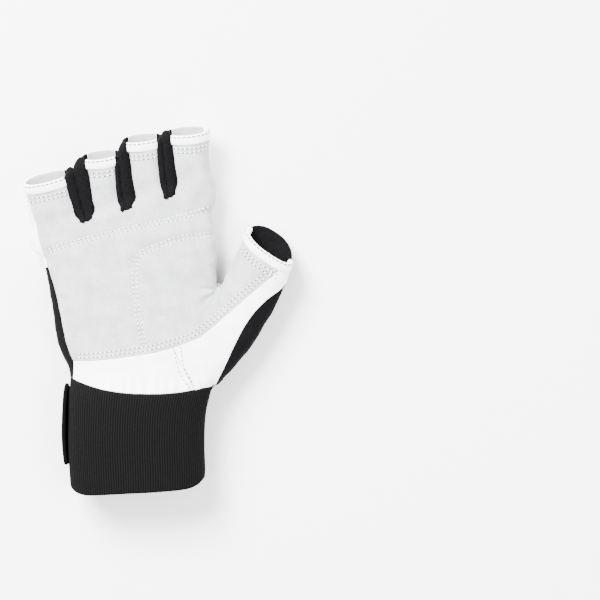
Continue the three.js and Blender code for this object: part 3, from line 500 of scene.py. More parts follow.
def wall(name, patches, low, high, materials, relief=None, both=False, uvs=None, bevel=PALM_BEVEL):
    """A closed wall from patches of surface points that share their common edges.

    Each point goes out along the form's normal by high plus the relief, and in by low. The relief
    is a function of the points, or grids of numbers like the patches; both gives it to both faces.
    The open edges of the two faces are joined by a rim that stands out by the bevel halfway."""
    all_points = np.concatenate([grid.reshape(-1, 3) for grid, only in patches])
    all_normals = np.concatenate([normals_at(grid.reshape(-1, 3), only) for grid, only in patches])
    keys = np.round(all_points * MERGES_PER_MM).astype(np.int64)
    _, first, index = np.unique(keys, axis=0, return_index=True, return_inverse=True)
    index = index.ravel()
    points = all_points[first]
    normals = np.zeros_like(points)
    np.add.at(normals, index, all_normals)
    normals /= np.linalg.norm(normals, axis=1, keepdims=True)
    quads, offset = [], 0
    for grid, _ in patches:
        ids = index[offset : offset + grid[..., 0].size].reshape(grid.shape[:2])
        offset += grid[..., 0].size
        q = np.stack([ids[1:, :-1], ids[1:, 1:], ids[:-1, 1:], ids[:-1, :-1]], -1).reshape(-1, 4)
        turn = np.cross(points[q[:, 1]] - points[q[:, 0]], points[q[:, 2]] - points[q[:, 1]])
        if (np.sign((turn * normals[q[:, 1]]).sum(1))).sum() < 0:
            q = q[:, ::-1]
        quads.append(q)
    quads = np.concatenate(quads)
    n = len(points)
    edges = np.concatenate([np.stack([quads[:, k], quads[:, (k + 1) % 4]], -1) for k in range(4)])
    edges = edges[edges[:, 0] != edges[:, 1]]
    codes, back = edges[:, 0] * n + edges[:, 1], edges[:, 1] * n + edges[:, 0]
    rim = edges[~np.isin(codes, back)]
    lift = np.zeros(n)
    if callable(relief):
        lift = relief(points)
    elif relief is not None:
        lift = np.concatenate([grid.ravel() for grid in relief])[first]
    outer = points + normals * (high + lift)[:, None]
    inner = points + normals * (low + (lift if both else 0 * lift))[:, None]
    open_points = np.unique(rim)
    step = np.zeros((n, 3))
    along = points[rim[:, 1]] - points[rim[:, 0]]
    for end in (0, 1):
        away = np.cross(along, normals[rim[:, end]])
        np.add.at(step, rim[:, end], away / np.maximum(np.linalg.norm(away, axis=1, keepdims=True), 1e-9))
    step = step[open_points]
    step /= np.maximum(np.linalg.norm(step, axis=1, keepdims=True), 1e-9)
    middle = (inner[open_points] + outer[open_points]) / 2 + step * bevel
    mid = np.zeros(n, int)
    mid[open_points] = np.arange(len(open_points)) + 2 * n
    upper = np.stack([rim[:, 0] + n, mid[rim[:, 0]], mid[rim[:, 1]], rim[:, 1] + n], -1)
    lower = np.stack([mid[rim[:, 0]], rim[:, 0], rim[:, 1], mid[rim[:, 1]]], -1)
    all_quads = np.concatenate([quads + n, quads[:, ::-1], upper, lower])
    slots = np.zeros(len(all_quads))
    slots[len(quads) : 2 * len(quads)] = len(materials) - 1
    uv = None
    if uvs is not None:
        flat_uv = np.concatenate([u.reshape(-1, 2) for u in uvs])[first]
        uv = np.concatenate([flat_uv, flat_uv, flat_uv[open_points]])
    same = all_quads == np.roll(all_quads, -1, axis=1)
    closed = same.any(1)
    turn = (same[closed].argmax(1)[:, None] + np.array([1, 2, 3])) % 4
    triangles = np.take_along_axis(all_quads[closed], turn, 1)
    order = np.concatenate([slots[~closed], slots[closed]])
    verts = np.concatenate([inner, outer, middle])
    return make_mesh(name, verts, [all_quads[~closed], triangles], materials, order, uv)


def swept(name, rings, material):
    """A closed solid from a grid of points: closed outlines one after another along a path.

    Each outline's points close on themselves, and the first and last outlines are filled in."""
    n, k = rings.shape[:2]
    ids = np.arange(n * k).reshape(n, k)
    right = np.roll(ids, -1, 1)
    sides = np.stack([ids[:-1], right[:-1], right[1:], ids[1:]], -1).reshape(-1, 4)
    points = np.concatenate([rings.reshape(-1, 3), rings[0].mean(0)[None], rings[-1].mean(0)[None]])
    first = np.stack([ids[0], np.full(k, n * k), right[0]], -1)
    last = np.stack([ids[-1], right[-1], np.full(k, n * k + 1)], -1)
    a, b, c, d = (points[sides[:, i]] for i in range(4))
    volume = ((np.cross(b, c) * a).sum() + (np.cross(c, d) * a).sum()) / 6
    if volume < 0:
        sides, first, last = sides[:, ::-1], first[:, ::-1], last[:, ::-1]
    along = lengths_of(rings.mean(1))[:, None] + np.zeros((1, k))
    around = np.arange(k)[None] + np.zeros((n, 1))
    uv = np.concatenate([np.stack([along, around], -1).reshape(-1, 2), [[0, 0], [along.max(), 0]]])
    return make_mesh(name, points, [sides, np.concatenate([first, last])], [material], None, uv)


def drape(xy, top=60.0):
    """The points of the form that lie at plan points, met from above."""
    z = np.arange(top, 0.0, -SEARCH_STEP)
    heights = np.broadcast_to(z[None, :, None], (len(xy), len(z), 1))
    hit = (field(np.concatenate([np.repeat(xy[:, None], len(z), 1), heights], -1)) < 0).argmax(1)
    low, _ = halve(lambda middle: np.column_stack([xy, middle]), z[hit], z[np.maximum(hit - 1, 0)])
    return np.column_stack([xy, low])


def smooth_line(guide, step=0.5):
    """A rounded plan line through guide points, at even steps of length."""
    guide = np.array(guide, float)
    padded = np.vstack([2 * guide[0] - guide[1], guide, 2 * guide[-1] - guide[-2]])
    t = np.linspace(0, 1, 40, endpoint=False)[:, None]
    run = []
    for a, b, c, d in zip(padded, padded[1:], padded[2:], padded[3:]):
        bend, twist = 2 * a - 5 * b + 4 * c - d, 3 * b - a - 3 * c + d
        run.append(0.5 * (2 * b + (c - a) * t + bend * t**2 + twist * t**3))
    run = np.vstack([np.vstack(run), guide[-1]])
    length = np.concatenate([[0], np.cumsum(np.linalg.norm(np.diff(run, axis=0), axis=1))])
    at = np.linspace(0, length[-1], max(int(length[-1] / step), 2) + 1)
    return np.column_stack([np.interp(at, length, run[:, k]) for k in range(2)])


def beside(line, distance):
    """A plan line moved to its left by a distance."""
    along = np.gradient(line, axis=0)
    along /= np.linalg.norm(along, axis=1, keepdims=True)
    return line + np.column_stack([-along[:, 1], along[:, 0]]) * distance


# ---- materials ----
def srgb(code):
    """Linear colour from a hex sRGB colour."""
    c = np.array([(code >> shift & 255) / 255 for shift in (16, 8, 0)])
    return (*np.where(c <= 0.04045, c / 12.92, ((c + 0.055) / 1.055) ** 2.4), 1.0)


def add(tree, kind, settings=(), values=(), links=()):
    """Adds a shader node with its properties set, its inputs given and its inputs linked."""
    made = tree.nodes.new(kind)
    for key, value in dict(settings).items():
        setattr(made, key, value)
    for key, value in dict(values).items():
        made.inputs[key].default_value = value
    for key, source in dict(links).items():
        tree.links.new(source, made.inputs[key])
    return made


def new_material(name, color, roughness, **extra):
    """A material with its shader, and the shader's tree to add to."""
    material = bpy.data.materials.new(name)
    material.use_nodes = True
    tree = material.node_tree
    shader = tree.nodes["Principled BSDF"]
    shader.inputs["Base Color"].default_value = srgb(color)
    shader.inputs["Roughness"].default_value = roughness
    for key, value in extra.items():
        shader.inputs[key.replace("_", " ")].default_value = value
    return material, tree, shader


def place(tree):
    """Object coordinates in millimetres."""
    source = add(tree, "ShaderNodeTexCoord").outputs["Object"]
    scaled = add(tree, "ShaderNodeVectorMath", {"operation": "SCALE"}, {"Scale": 1 / MM}, {0: source})
    return scaled.outputs[0]


def noise(tree, at, size, detail=2.0, rough=0.5):
    """Soft noise whose blotches are about size millimetres wide."""
    values = {"Scale": 1 / size, "Detail": detail, "Roughness": rough}
    return add(tree, "ShaderNodeTexNoise", {}, values, {"Vector": at}).outputs[0]


def calc(tree, operation, *sources, by=0.5):
    """A maths node's result from one source and a number, or from two sources."""
    links = dict(enumerate(sources))
    return add(tree, "ShaderNodeMath", {"operation": operation}, {1: by}, links).outputs[0]


def tint(tree, factor, dark, light, low=0.3, high=0.7):
    """A colour between two sRGB codes, by a factor from low to high."""
    ramp = add(tree, "ShaderNodeMapRange", {}, {"From Min": low, "From Max": high}, {"Value": factor})
    colors = {6: srgb(dark), 7: srgb(light)}
    return add(tree, "ShaderNodeMix", {"data_type": "RGBA"}, colors, {0: ramp.outputs[0]}).outputs[2]


def bump(tree, height, distance, strength=1.0, below=None):
    values = {"Distance": distance * MM, "Strength": strength}
    links = {"Height": height} if below is None else {"Height": height, "Normal": below}
    return add(tree, "ShaderNodeBump", {}, values, links).outputs[0]


def dressed(made, color, normal):
    """A new material with its colour and its bumps linked."""
    material, tree, shader = made
    tree.links.new(color, shader.inputs["Base Color"])
    tree.links.new(normal, shader.inputs["Normal"])
    return material


def suede_look():
    """Split leather of the palm: a matt grey white nap with soft blotches and a fine grain."""
    made = new_material("white_suede", 0xE3E4E5, 0.95, Sheen_Weight=0.25, Sheen_Roughness=0.5)
    tree, at = made[1], place(made[1])
    nap = noise(tree, at, 0.9, 4.0, 0.65)
    base = tint(tree, noise(tree, at, 9.0, 3.0), 0x9FA0A2, 0xB6B7B9)
    fine = tint(tree, nap, 0xD8D9DA, 0xFFFFFF, 0.25, 0.6)
    multiply = {"data_type": "RGBA", "blend_type": "MULTIPLY"}
    both = add(tree, "ShaderNodeMix", multiply, {0: 1.0}, {6: base, 7: fine})
    return dressed(made, both.outputs[2], bump(tree, nap, 0.35, 0.7))


def leather_look():
    """Smooth white leather of the heel, knuckles and bindings: brighter, with a soft sheen and a grain."""
    made = new_material("white_smooth_leather", 0xF6F7FA, 0.48)
    tree, at = made[1], place(made[1])
    wrinkle = noise(tree, at, 6.0, 3.0)
    coarse = bump(tree, wrinkle, 0.5, 0.35)
    pebbled = bump(tree, noise(tree, at, 0.7, 2.0), 0.08, 0.5, coarse)
    return dressed(made, tint(tree, wrinkle, 0xF2F4F8, 0xFAFBFD), pebbled)


def flesh_look():
    """The rough inner face of the leather, seen inside the openings: light grey."""
    made = new_material("leather_flesh_side", 0xA6A8AC, 0.95)
    nap = noise(made[1], place(made[1]), 1.2, 4.0, 0.7)
    return dressed(made, tint(made[1], nap, 0x96989C, 0xB2B4B8), bump(made[1], nap, 0.3, 0.6))


def cloth_look(name, dark, light, size=0.8, depth=0.35, rough=0.92):
    """Black stretch cloth: matt, a little fuzzy, its knit drawn coarser than the real half millimetre."""
    made = new_material(name, dark, rough, Specular_IOR_Level=0.05)
    fuzz = noise(made[1], place(made[1]), size, 3.0, 0.7)
    return dressed(made, tint(made[1], fuzz, dark, light), bump(made[1], fuzz, depth, 0.9))


def rib_look():
    """Ribbed elastic of the wrist wrap: black, its grooves between upright ribs darkened as painted shade
    and their tops a little grey as a painted highlight.
    """
    made = new_material("black_ribbed_elastic", 0x0E0E10, 0.85, Specular_IOR_Level=0.05)
    tree = made[1]
    lint = noise(tree, place(tree), 0.7, 3.0, 0.7)
    across = add(tree, "ShaderNodeUVMap", {"uv_map": "surface"}).outputs[0]
    count = add(tree, "ShaderNodeSeparateXYZ", links={0: across}).outputs[0]
    # Painted light and shade: a tint that follows the ribs, lighter on their tops and darker in the
    # grooves, mixed with a random lint
    rib = calc(tree, "ABSOLUTE", calc(tree, "SINE", calc(tree, "MULTIPLY", count, by=np.pi)))
    rib_shade_and_lint = calc(tree, "MULTIPLY", rib, lint)
    return dressed(made, tint(tree, rib_shade_and_lint, 0x020202, 0x0E0E0F, 0.15, 0.7), bump(tree, lint, 0.2, 0.9))


SUEDE_LOOK = suede_look()
LEATHER_LOOK = leather_look()
FLESH_LOOK = flesh_look()
KNIT_LOOK = cloth_look("black_stretch_knit", 0x020203, 0x0C0C0D)
RIB_LOOK = rib_look()
HOOK_LOOK = cloth_look("black_hook_tape", 0x040404, 0x0C0C0D, 0.9, 0.6)
# White sewing thread, a touch brighter than the suede round it
THREAD_LOOK = new_material("white_thread", 0xEDEEF0, 0.7, Sheen_Weight=0.1)[0]
# The shadowed needle holes beside each stitch
HOLE_LOOK = new_material("needle_hole", 0x5C5E61, 1.0)[0]

# ---- quilting and edges on the palm, plan lines in millimetres ----
QUILT_ACROSS = smooth_line([(-45.1, 26.4), (-34.7, 30.3), (1.1, 39.1), (24.2, 44.6), (44.4, 50.3)])
QUILT_ROUND = smooth_line(
    [(44.6, 36.3), (28.6, 34.1), (16.0, 29.7), (7.7, 26.1), (3.9, 21.5)]
    + [(2.8, 14.0), (3.9, -0.6), (5.5, -11.0), (8.2, -23.7)]
)
QUILTS = [QUILT_ACROSS, QUILT_ROUND]
HEEL_JOIN = smooth_line([(26.5, -24.2), (28.7, -36.8), (34.4, -49.0)])
# The same seam as far as its two rows of stitches run
HEEL_STITCHED = smooth_line([(26.4, -26.2), (28.6, -37.0), (34.2, -47.5)])
THUMB_CREASE = smooth_line([(49.5, 11.0), (48.0, 5.0), (45.0, -2.0), (40.0, -10.0)])
ROW_SPACE = 2.2
# Depth and spread of the valley along a quilt line, and of the fold at each row of stitches
VALLEY, VALLEY_SPREAD, FOLD_DEPTH, FOLD_SPREAD = 0.55, 3.4, 0.3, 0.7
# Reliefs fade in from this height of the form, over this many millimetres
FRONT_FROM, CROTCH_FROM, FRONT_RUN = 12, 10, 6
# Leather sewn to the narrower wrap: height, middle and spread of its gathers along the hand
GATHER, GATHER_Y, GATHER_SPREAD = 0.3, -47.5, 4.5
SWELL_HEIGHT = 0.32
# Crease down from the thumb's crotch: depth and spread; its fan: height, middle, radius and spread
CREASE, CREASE_SPREAD = 1.7, 1.6
FAN, FAN_X, FAN_Y, FAN_RADIUS, FAN_SPREAD = 0.55, 49.0, 6.0, 8, 5


def quilt_relief(points):
    """How the suede sinks along the quilt lines: a wide valley, and a fold along each of its two rows."""
    lift = np.zeros(len(points))
    for line in QUILTS:
        d = nearest(points[:, :2], line[::2])
        rows = np.minimum(np.abs(d - ROW_SPACE / 2), 9)
        lift -= VALLEY * hump(d, VALLEY_SPREAD) + FOLD_DEPTH * hump(rows, FOLD_SPREAD)
    return lift * smooth((points[:, 2] - FRONT_FROM) / FRONT_RUN)


def undulation(points):
    """The soft swells of stuffed leather: a few fixed waves that run across each other.

    With them come the gathers at the wrap, and the ridge of the seam down the heel."""
    x, y, z = points.T
    waves = np.sin(0.21 * x + 0.13 * y + 0.6) * np.sin(0.17 * y - 0.08 * x + 1.1)
    waves += 0.5 * np.sin(0.43 * x - 0.31 * y + 2.0) * np.sin(0.37 * y + 0.29 * x)
    gathers = GATHER * hump(y - GATHER_Y, GATHER_SPREAD) * np.sin(1.05 * x + 0.8 * np.sin(0.31 * x))
    d = nearest(points[:, :2], HEEL_JOIN)
    join = (0.4 * hump(d - 0.9, 0.6) - 0.5 * hump(d, 0.45)) * (z > 14)
    return SWELL_HEIGHT * waves + gathers + join


def crotch_folds(points):
    """The crease that runs down from the thumb's crotch, and the small gathers that fan out beside it."""
    x, y, z = points.T
    crease = hump(nearest(points[:, :2], THUMB_CREASE), CREASE_SPREAD) * smooth((y + 14) / 16)
    dx, dy = x - FAN_X, y - FAN_Y
    fan = np.cos(9 * np.arctan2(dy, dx)) * hump(np.hypot(dx, dy) - FAN_RADIUS, FAN_SPREAD) * (dx < 2)
    return (-CREASE * crease + FAN * fan) * smooth((z - CROTCH_FROM) / FRONT_RUN)


def palm_relief(points):
    return quilt_relief(points) + undulation(points) + crotch_folds(points)


# ---- the panels ----
BETWEEN, FINGER_COLUMNS, TONGUE_COLUMNS, FINGER_ROWS, THUMB_ROWS = 26, 30, 8, 30, 44
front, front_fingers, front_spans = face(
    FRONT_ROWS, front_angles, BETWEEN, FINGER_COLUMNS, TONGUE_COLUMNS, FINGER_ROWS, EDGE_FULLNESS
)


def finish_piece(piece, node):
    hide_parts(node)
    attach(piece, "root")


def leather_panel(node, patches):
    """A panel of smooth leather in place of a node, its outer face on the form."""
    looks = [LEATHER_LOOK, FLESH_LOOK]
    made = wall(f"{node}_smooth", patches, -LEATHER, 0.0, looks, undulation, bevel=LEATHER_BEVEL)
    finish_piece(made, node)


thumb_row = THUMB_ROOT_ROW * BETWEEN
palm_edge = front[: thumb_row + 1, -1]
thumb_front_rim = thumb.rim(np.linspace(THUMB_FRONT_EDGE, THUMB_INNER_EDGE, len(palm_edge)))


def crotch_shift(start, end, rim_angles, rows, shares):
    """How far straight spans from root points to the thumb's rim move onto paths along the thumb's tube.

    shares are 1 in the column beside the crotch, where a straight span would cross the notch."""
    t = np.linspace(0, 1, rows + 1)[:, None]
    d = start - thumb.root
    s = d @ thumb.along
    sideways = (d @ thumb.across - thumb.shift(s)) / thumb.half_width(s)
    upwards = (d @ thumb.up) / (thumb.depth / 2)
    turn = np.degrees(np.arctan2(upwards, sideways))
    turn += 360 * np.round((rim_angles - turn) / 360)
    rim_at = (end - thumb.root) @ thumb.along
    path = thumb.point(mix(s, rim_at, t), mix(turn, rim_angles, t))
    path += (start - thumb.point(s, turn)) * (1 - t[..., None]) ** CROTCH_RELEASE
    weight = smooth((shares - CROTCH_SHARE) / (1 - CROTCH_SHARE))
    return (path - mix(start, end, t[..., None])) * weight[None, :, None]


shares = np.linspace(0, 1, len(palm_edge))
front_angles_round = mix(THUMB_FRONT_EDGE, THUMB_INNER_EDGE, shares)
thumb_front_shift = crotch_shift(palm_edge, thumb_front_rim, front_angles_round, THUMB_ROWS, shares)
thumb_front = span(palm_edge, thumb_front_rim, THUMB_ROWS, [], thumb_front_shift)
palm_patches = [(front, None), *front_fingers, (thumb_front, [])]
palm = wall("palm_leather_suede", palm_patches, -SUEDE, 0.0, [SUEDE_LOOK, FLESH_LOOK], palm_relief)
finish_piece(palm, "palm_leather")

HEEL_COLUMNS, HEEL_ROWS = 110, 40
columns = np.linspace(0, 1, HEEL_COLUMNS + 1)
heel_top = settle(points_at(row_curve(FRONT_ROWS[0]), columns * HEEL_JOIN_TOP))
heel_foot = settle(points_at(row_curve(CUFF_SEAM), columns * HEEL_JOIN_FOOT))
heel_span = span(heel_top, heel_foot, HEEL_ROWS)
leather_panel("heel_leather", [(trimmed(heel_span, ["first", "last", "end"]), None)])

REST_SAMPLES = 30
heel_rest = settle(points_at(row_curve(FRONT_ROWS[0]), np.linspace(HEEL_JOIN_TOP, 1, REST_SAMPLES)))
cuff_rest = settle(points_at(row_curve(CUFF_SEAM), np.linspace(HEEL_JOIN_FOOT, 1, REST_SAMPLES)))
cuff_corner = cuff_rest[-1]
outer_rim = thumb.rim(THUMB_STRIP_EDGE)
STRIP_COLUMNS, STRIP_ROWS = 160, 30


def strip_shift(rows, shares):
    """How far the smooth strip's outer edge, and the cloth beside it, come forward halfway up the thumb."""
    t = np.linspace(0, 1, rows + 1)[:, None, None]
    bow = STRIP_BOW * (np.sin(np.pi * t) * shares[None, :, None]) ** 2
    return (thumb.up * 0.8 - thumb.across * 0.6) * bow


edge_shift = strip_shift(STRIP_COLUMNS, np.ones(1))
outer_edge = span(cuff_corner[None], outer_rim[None], STRIP_COLUMNS, [], edge_shift)[:, 0]
even = np.linspace(0, 1, STRIP_COLUMNS + 1)
strip_inner = points_at(np.vstack([heel_rest, thumb_front[1:, 0]]), even)
strip_outer = points_at(np.vstack([cuff_rest, outer_edge[1:]]), even)
strip_span = span(strip_inner, strip_outer, STRIP_ROWS, [])
leather_panel("thumb_strip", [(trimmed(strip_span, ["first", "start"]), [])])


def at_y(curve, y):
    """Points of a curve that rises along the hand, at heights y."""
    order = np.argsort(curve[:, 1])
    return np.stack([np.interp(y, curve[order, 1], curve[order, k]) for k in range(3)], -1)


hand_edge = np.vstack([heel_span[::-1, 0], front[1:, 0]])
index_edge = front[thumb_row:, -1]
back, back_fingers, back_spans = face(
    BACK_ROWS, back_angles, BETWEEN, FINGER_COLUMNS, TONGUE_COLUMNS, FINGER_ROWS
)
back[:, 0] = at_y(hand_edge, back[:, 0, 1])
sewn = back[:, -1, 1] >= index_edge[0, 1]
back[sewn, -1] = at_y(index_edge, back[sewn, -1, 1])
knuckle_start = KNUCKLE_ROW * BETWEEN
knuckle_fingers = [
    (trimmed(grid, (["start"] if i == 0 else []) + (["end"] if i == 3 else [])), only)
    for i, (grid, only) in enumerate(back_fingers)
]
knuckle = trimmed(back[knuckle_start:], ["start", "end"])
leather_panel("knuckle_leather", [(knuckle, None), *knuckle_fingers])

back_edge = back[: thumb_row + 1, -1]
UNDER_SAMPLES, THUMB_BACK_COLUMNS = 20, 90
under_row = (*BACK_ROWS[0][:3], BACK_THUMB_SIDE, 360 + CUFF_SEAM[4])
cuff_under = settle(points_at(row_curve(under_row), np.linspace(0, 1, UNDER_SAMPLES)))
across = np.linspace(0, 1, THUMB_BACK_COLUMNS)
thumb_back_root = points_at(np.vstack([back_edge[::-1], cuff_under[1:-1], cuff_corner]), across)
# The stretch cloth stands out past the thumb's binding in a half moon
half_moon = THUMB_HALF_MOON * np.sin(np.pi * across) ** 0.9
round_back = mix(THUMB_INNER_EDGE, 360 + THUMB_STRIP_EDGE, across)
thumb_back_rim = thumb.rim(round_back, -half_moon)
thumb_back_shift = crotch_shift(thumb_back_root, thumb_back_rim, round_back, THUMB_ROWS, 1 - across)
thumb_back_shift += strip_shift(THUMB_ROWS, across)
thumb_back_span = span(thumb_back_root, thumb_back_rim, THUMB_ROWS, [], thumb_back_shift)
thumb_back = trimmed(thumb_back_span, ["start", "end"])
back_patches = [(trimmed(back[: knuckle_start + 1], ["last", "start"]), None), (thumb_back, [])]
back_cloth = wall("back_cloth_knit", back_patches, -FABRIC, 0.0, [KNIT_LOOK], undulation, bevel=CLOTH_BEVEL)
finish_piece(back_cloth, "back_cloth")


# ---- gussets ----
GUSSET_DEPTH_STEPS, GUSSET_ROWS, CROTCH_ROWS = 30, 36, 8


def cast(start, direction):
    """The first points of the surface met from points inside the form."""
    reach = np.arange(0.0, PALM_DEPTH, SEARCH_STEP)
    out = (field(start[:, None] + direction[:, None] * reach[None, :, None]) >= 0).argmax(1)
    inner = reach[np.maximum(out - 1, 0)]
    _, outer = halve(lambda middle: start + direction * middle[:, None], inner, reach[out])
    return start + direction * outer[:, None]


def crotch_fan(tongue_front, tongue_back, middle_x):
    t = np.linspace(0, 1, GUSSET_DEPTH_STEPS + 1)
    turn = np.sin(np.pi * t)
    start = mix(tongue_front, tongue_back, t[:, None])
    start[:, 0] = mix(start[:, 0], middle_x, np.sqrt(np.maximum(turn, 0)))
    start[:, 1] -= 1
    start[:, 2] = (tongue_front[2] + tongue_back[2]) / 2
    out = cast(start, np.column_stack([np.zeros(len(t)), turn, np.cos(np.pi * t)]))
    out[0], out[-1] = tongue_front, tongue_back
    return out


front_tongues = [(front[-1, front_spans[i][1]], front[-1, front_spans[i + 1][0]]) for i in range(3)]
back_tongues = [(back[-1, back_spans[i][1]], back[-1, back_spans[i + 1][0]]) for i in range(3)]
depth = np.linspace(0, 1, GUSSET_DEPTH_STEPS + 1)
reach = -0.8 * hump(depth, 0.25)
for i in range(3):
    finger, beyond = fingers[i], fingers[i + 1]
    middle_x = (ROOTS[i][2] + ROOTS[i + 1][0]) / 2
    nudge = FINGERS[i][3] / 3
    lower = crotch_fan(front_tongues[i][0], back_tongues[i][0], middle_x - nudge)
    upper = crotch_fan(front_tongues[i][1], back_tongues[i][1], middle_x + nudge)
    rim_a = finger.rim(mix(FRONT_EDGE, BACK_EDGE, depth), reach * 0.4)
    rim_b = beyond.rim(mix(180 - FRONT_EDGE, 180 - BACK_EDGE, depth), reach)
    wall_a = span(rim_a, lower, GUSSET_ROWS, [finger])
    crotch = span(lower, upper, CROTCH_ROWS)
    wall_b = span(upper, rim_b, GUSSET_ROWS, [beyond])
    grid = trimmed(np.vstack([wall_a, crotch[1:], wall_b[1:]]), ["start", "end"])
    first, last = len(wall_a), len(wall_a) + CROTCH_ROWS
    patches = [(grid[:first], [finger]), (grid[first - 1 : last], None), (grid[last - 1 :], [beyond])]
    node = f"gusset_{finger.name}_{beyond.name}"
    finish_piece(wall(f"{node}_knit", patches, -FABRIC, 0.2, [KNIT_LOOK]), node)


# Where each gusset's cloth stands up in two folds between the fingers: the share of the gap that the fold
# beside the further finger takes, the share of the nearer one, and how far each reaches past the rims
FOLDS = [(0.66, 0.46, 4.6, 3.6), (0.84, 0.34, 3.8, -2.0), (0.76, 0.42, 4.2, 0.8)]
FOLD_FOOT = 3.0
FOLD_STEPS, FOLD_SIDES = 120, 28
# Where a fold starts short of the root, its half height, and the way it stands
FOLD_START, FOLD_HEIGHT, FOLD_UP = -1.6, 4.6, np.array([0.0, -0.18, 0.98])
# The share of the run where the gap's width is taken, and what is added to the gap and to half a fold
GAP_AT, FOLD_SPARE = 0.3, 0.3
# How long the rounding of an end is, in half widths, and at least
END_ROUND, SHORTEST_ROUND = 1.5, 2.4
# How far a fold's middle lies below the seams, and how much more past the rims and before the root
FOLD_DROP, RIM_DROP, RIM_DROP_RUN, ROOT_DROP = 2.8, 1.4, 5.5, 1.0


def fold(name, left, right, centre, width, past, limb, seed):
    """A puffed fold of knit: an upright oval carried along the gap, rounded off at both ends.

    left and right are the sewn edges from the root to the rim, centre and width shares of the gap."""
    reach = lengths_of((left + right) / 2)[-1]
    run = mix(FOLD_START, reach + past, (1 - np.cos(np.linspace(0, np.pi, FOLD_STEPS))) / 2)
    inside = np.clip(run / reach, 0, 1)
    a, b = points_at(left, inside), points_at(right, inside)
    gap = np.linalg.norm(b - a, axis=1)
    side = (b - a) / gap[:, None]
    gap_there = gap[np.argmin(np.abs(inside - GAP_AT))] + FOLD_SPARE
    gap = np.interp(inside, [0, GAP_AT, 1], [2 * FOLD_FOOT, gap_there, gap[-1]])
    middle = (a + b) / 2 + side * ((centre - 0.5) * gap)[:, None]
    middle += limb.along * np.maximum(run - reach, 0)[:, None]
    middle[:, 1] += np.minimum(run, 0)
    half = gap * width / 2 + FOLD_SPARE
    ends = np.minimum(run - run[0], (run[-1] - run))
    ends = np.minimum(ends / np.maximum(END_ROUND * half, SHORTEST_ROUND), 1)
    round_off = np.sqrt(np.clip(1 - (1 - ends) ** 2, 0.0004, 1))
    half *= 1 + 0.05 * np.sin(run * 0.9 + seed) + 0.03 * np.sin(run * 2.3 + 2 * seed)
    turn = np.linspace(0, 2 * np.pi, FOLD_SIDES, endpoint=False)
    rough = 1 + 0.035 * np.sin(7 * turn[None] + 1.7 * run[:, None]) * np.sin(0.8 * run[:, None] + seed)
    deep = FOLD_HEIGHT * round_off
    across = side[:, None] * (half * round_off)[:, None, None] * (np.cos(turn)[None] * rough)[..., None]
    rise = np.sign(np.sin(turn)) * np.abs(np.sin(turn)) ** 0.8
    upward = FOLD_UP * (deep[:, None] * rise * rough)[..., None]
    drop = FOLD_DROP + RIM_DROP * smooth((run - reach + 1) / RIM_DROP_RUN) + ROOT_DROP * smooth(-run / 2)
    return swept(name, middle[:, None] - FOLD_UP * drop[:, None, None] + across + upward, KNIT_LOOK)


for i, (far_share, near_share, far_past, near_past) in enumerate(FOLDS):
    left, right = front_fingers[i][0][:, -1], front_fingers[i + 1][0][:, 0]
    pair = f"{fingers[i].name}_{fingers[i + 1].name}"
    sides = [
        ("far", 1 - far_share / 2, far_share, far_past, fingers[i + 1]),
        ("near", near_share / 2, near_share, near_past, fingers[i]),
    ]
    for which, centre, width, past, limb in sides:
        made = fold(f"gusset_{pair}_{which}_fold", left, right, centre, width, past, limb, i + centre)
        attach(made, "root")


# ---- bindings folded over the openings ----
# Distance back from the rim, distance out from the form: outside first, over the edge, then the inside
BINDING_SECTION = np.array(
    [(BINDING_WIDTH, 0.1), (BINDING_WIDTH - 0.05, 0.45), (BINDING_WIDTH - 0.3, 0.68)]
    + [(2.4, 0.74), (0.6, 0.78), (-0.4, 0.62)]
    + [(-0.9, 0.2), (-1.1, -0.7), (-0.9, -1.6), (-0.3, -2.15), (0.6, -2.35), (3.0, -2.35)]
    + [(3.0, -1.65), (0.3, -1.6), (-0.25, -1.3), (-0.3, -0.7), (-0.25, -0.05), (0.3, 0.08)]
)


def binding(name, limb, angles, only, columns=90):
    """A strip folded over a rim: its outline as seen from its end, carried round the opening."""
    angles = np.linspace(*angles, columns)
    rings = []
    for back_by, out_by in BINDING_SECTION:
        at = settle(limb.rim(angles, back_by), only)
        rings.append(at + normals_at(at, only) * out_by)
    return swept(name, np.stack(rings, 1), LEATHER_LOOK)


for i, finger in enumerate(fingers):
    strip_piece = binding(f"{finger.name}_binding_fold", finger, front_angles(i), [finger])
    finish_piece(strip_piece, f"{finger.name}_binding")
thumb_fold = binding("thumb_binding_fold", thumb, (THUMB_STRIP_EDGE, THUMB_INNER_EDGE), [], 120)
finish_piece(thumb_fold, "thumb_binding")

# ---- the wrist ----
# How far apart the ribs are, how high, and the share of that height which is left at the hems
RIB_PITCH, RIB_HEIGHT, HEM_SHARE = 1.35, 0.28, 0.35
# How far the wrap starts under the palm's edge, and how far below the form its outer face lies
CUFF_TUCK, CUFF_SUNK = 0.4, -0.1


def cuff_seam_y(angle):
    across = (1 + np.cos(np.radians(angle))) / 2
    sag = np.where(np.sin(np.radians(angle)) > 0, CUFF_SEAM[2], BACK_ROWS[0][2])
    return (mix(CUFF_SEAM[0], CUFF_SEAM[1], across) + sag * 4 * across * (1 - across)) * PALM_LENGTH


def hem_y(angle):
    c = np.cos(np.radians(angle))
    share = mix(HEM[0], HEM[1], (1 + c) / 2) - HEM[2] * np.abs(c) ** 9
    return -PALM_LENGTH / 2 - share * CUFF_LENGTH


def strap_top_y(angle):
    t = smooth((angle - STRAP_START) / 40)
    return -PALM_LENGTH / 2 - mix(STRAP_TOP_AT_START, STRAP_TOP, t) * CUFF_LENGTH


def strap_foot_y(angle):
    return np.full(np.shape(angle), -PALM_LENGTH / 2 - STRAP_FOOT * CUFF_LENGTH)


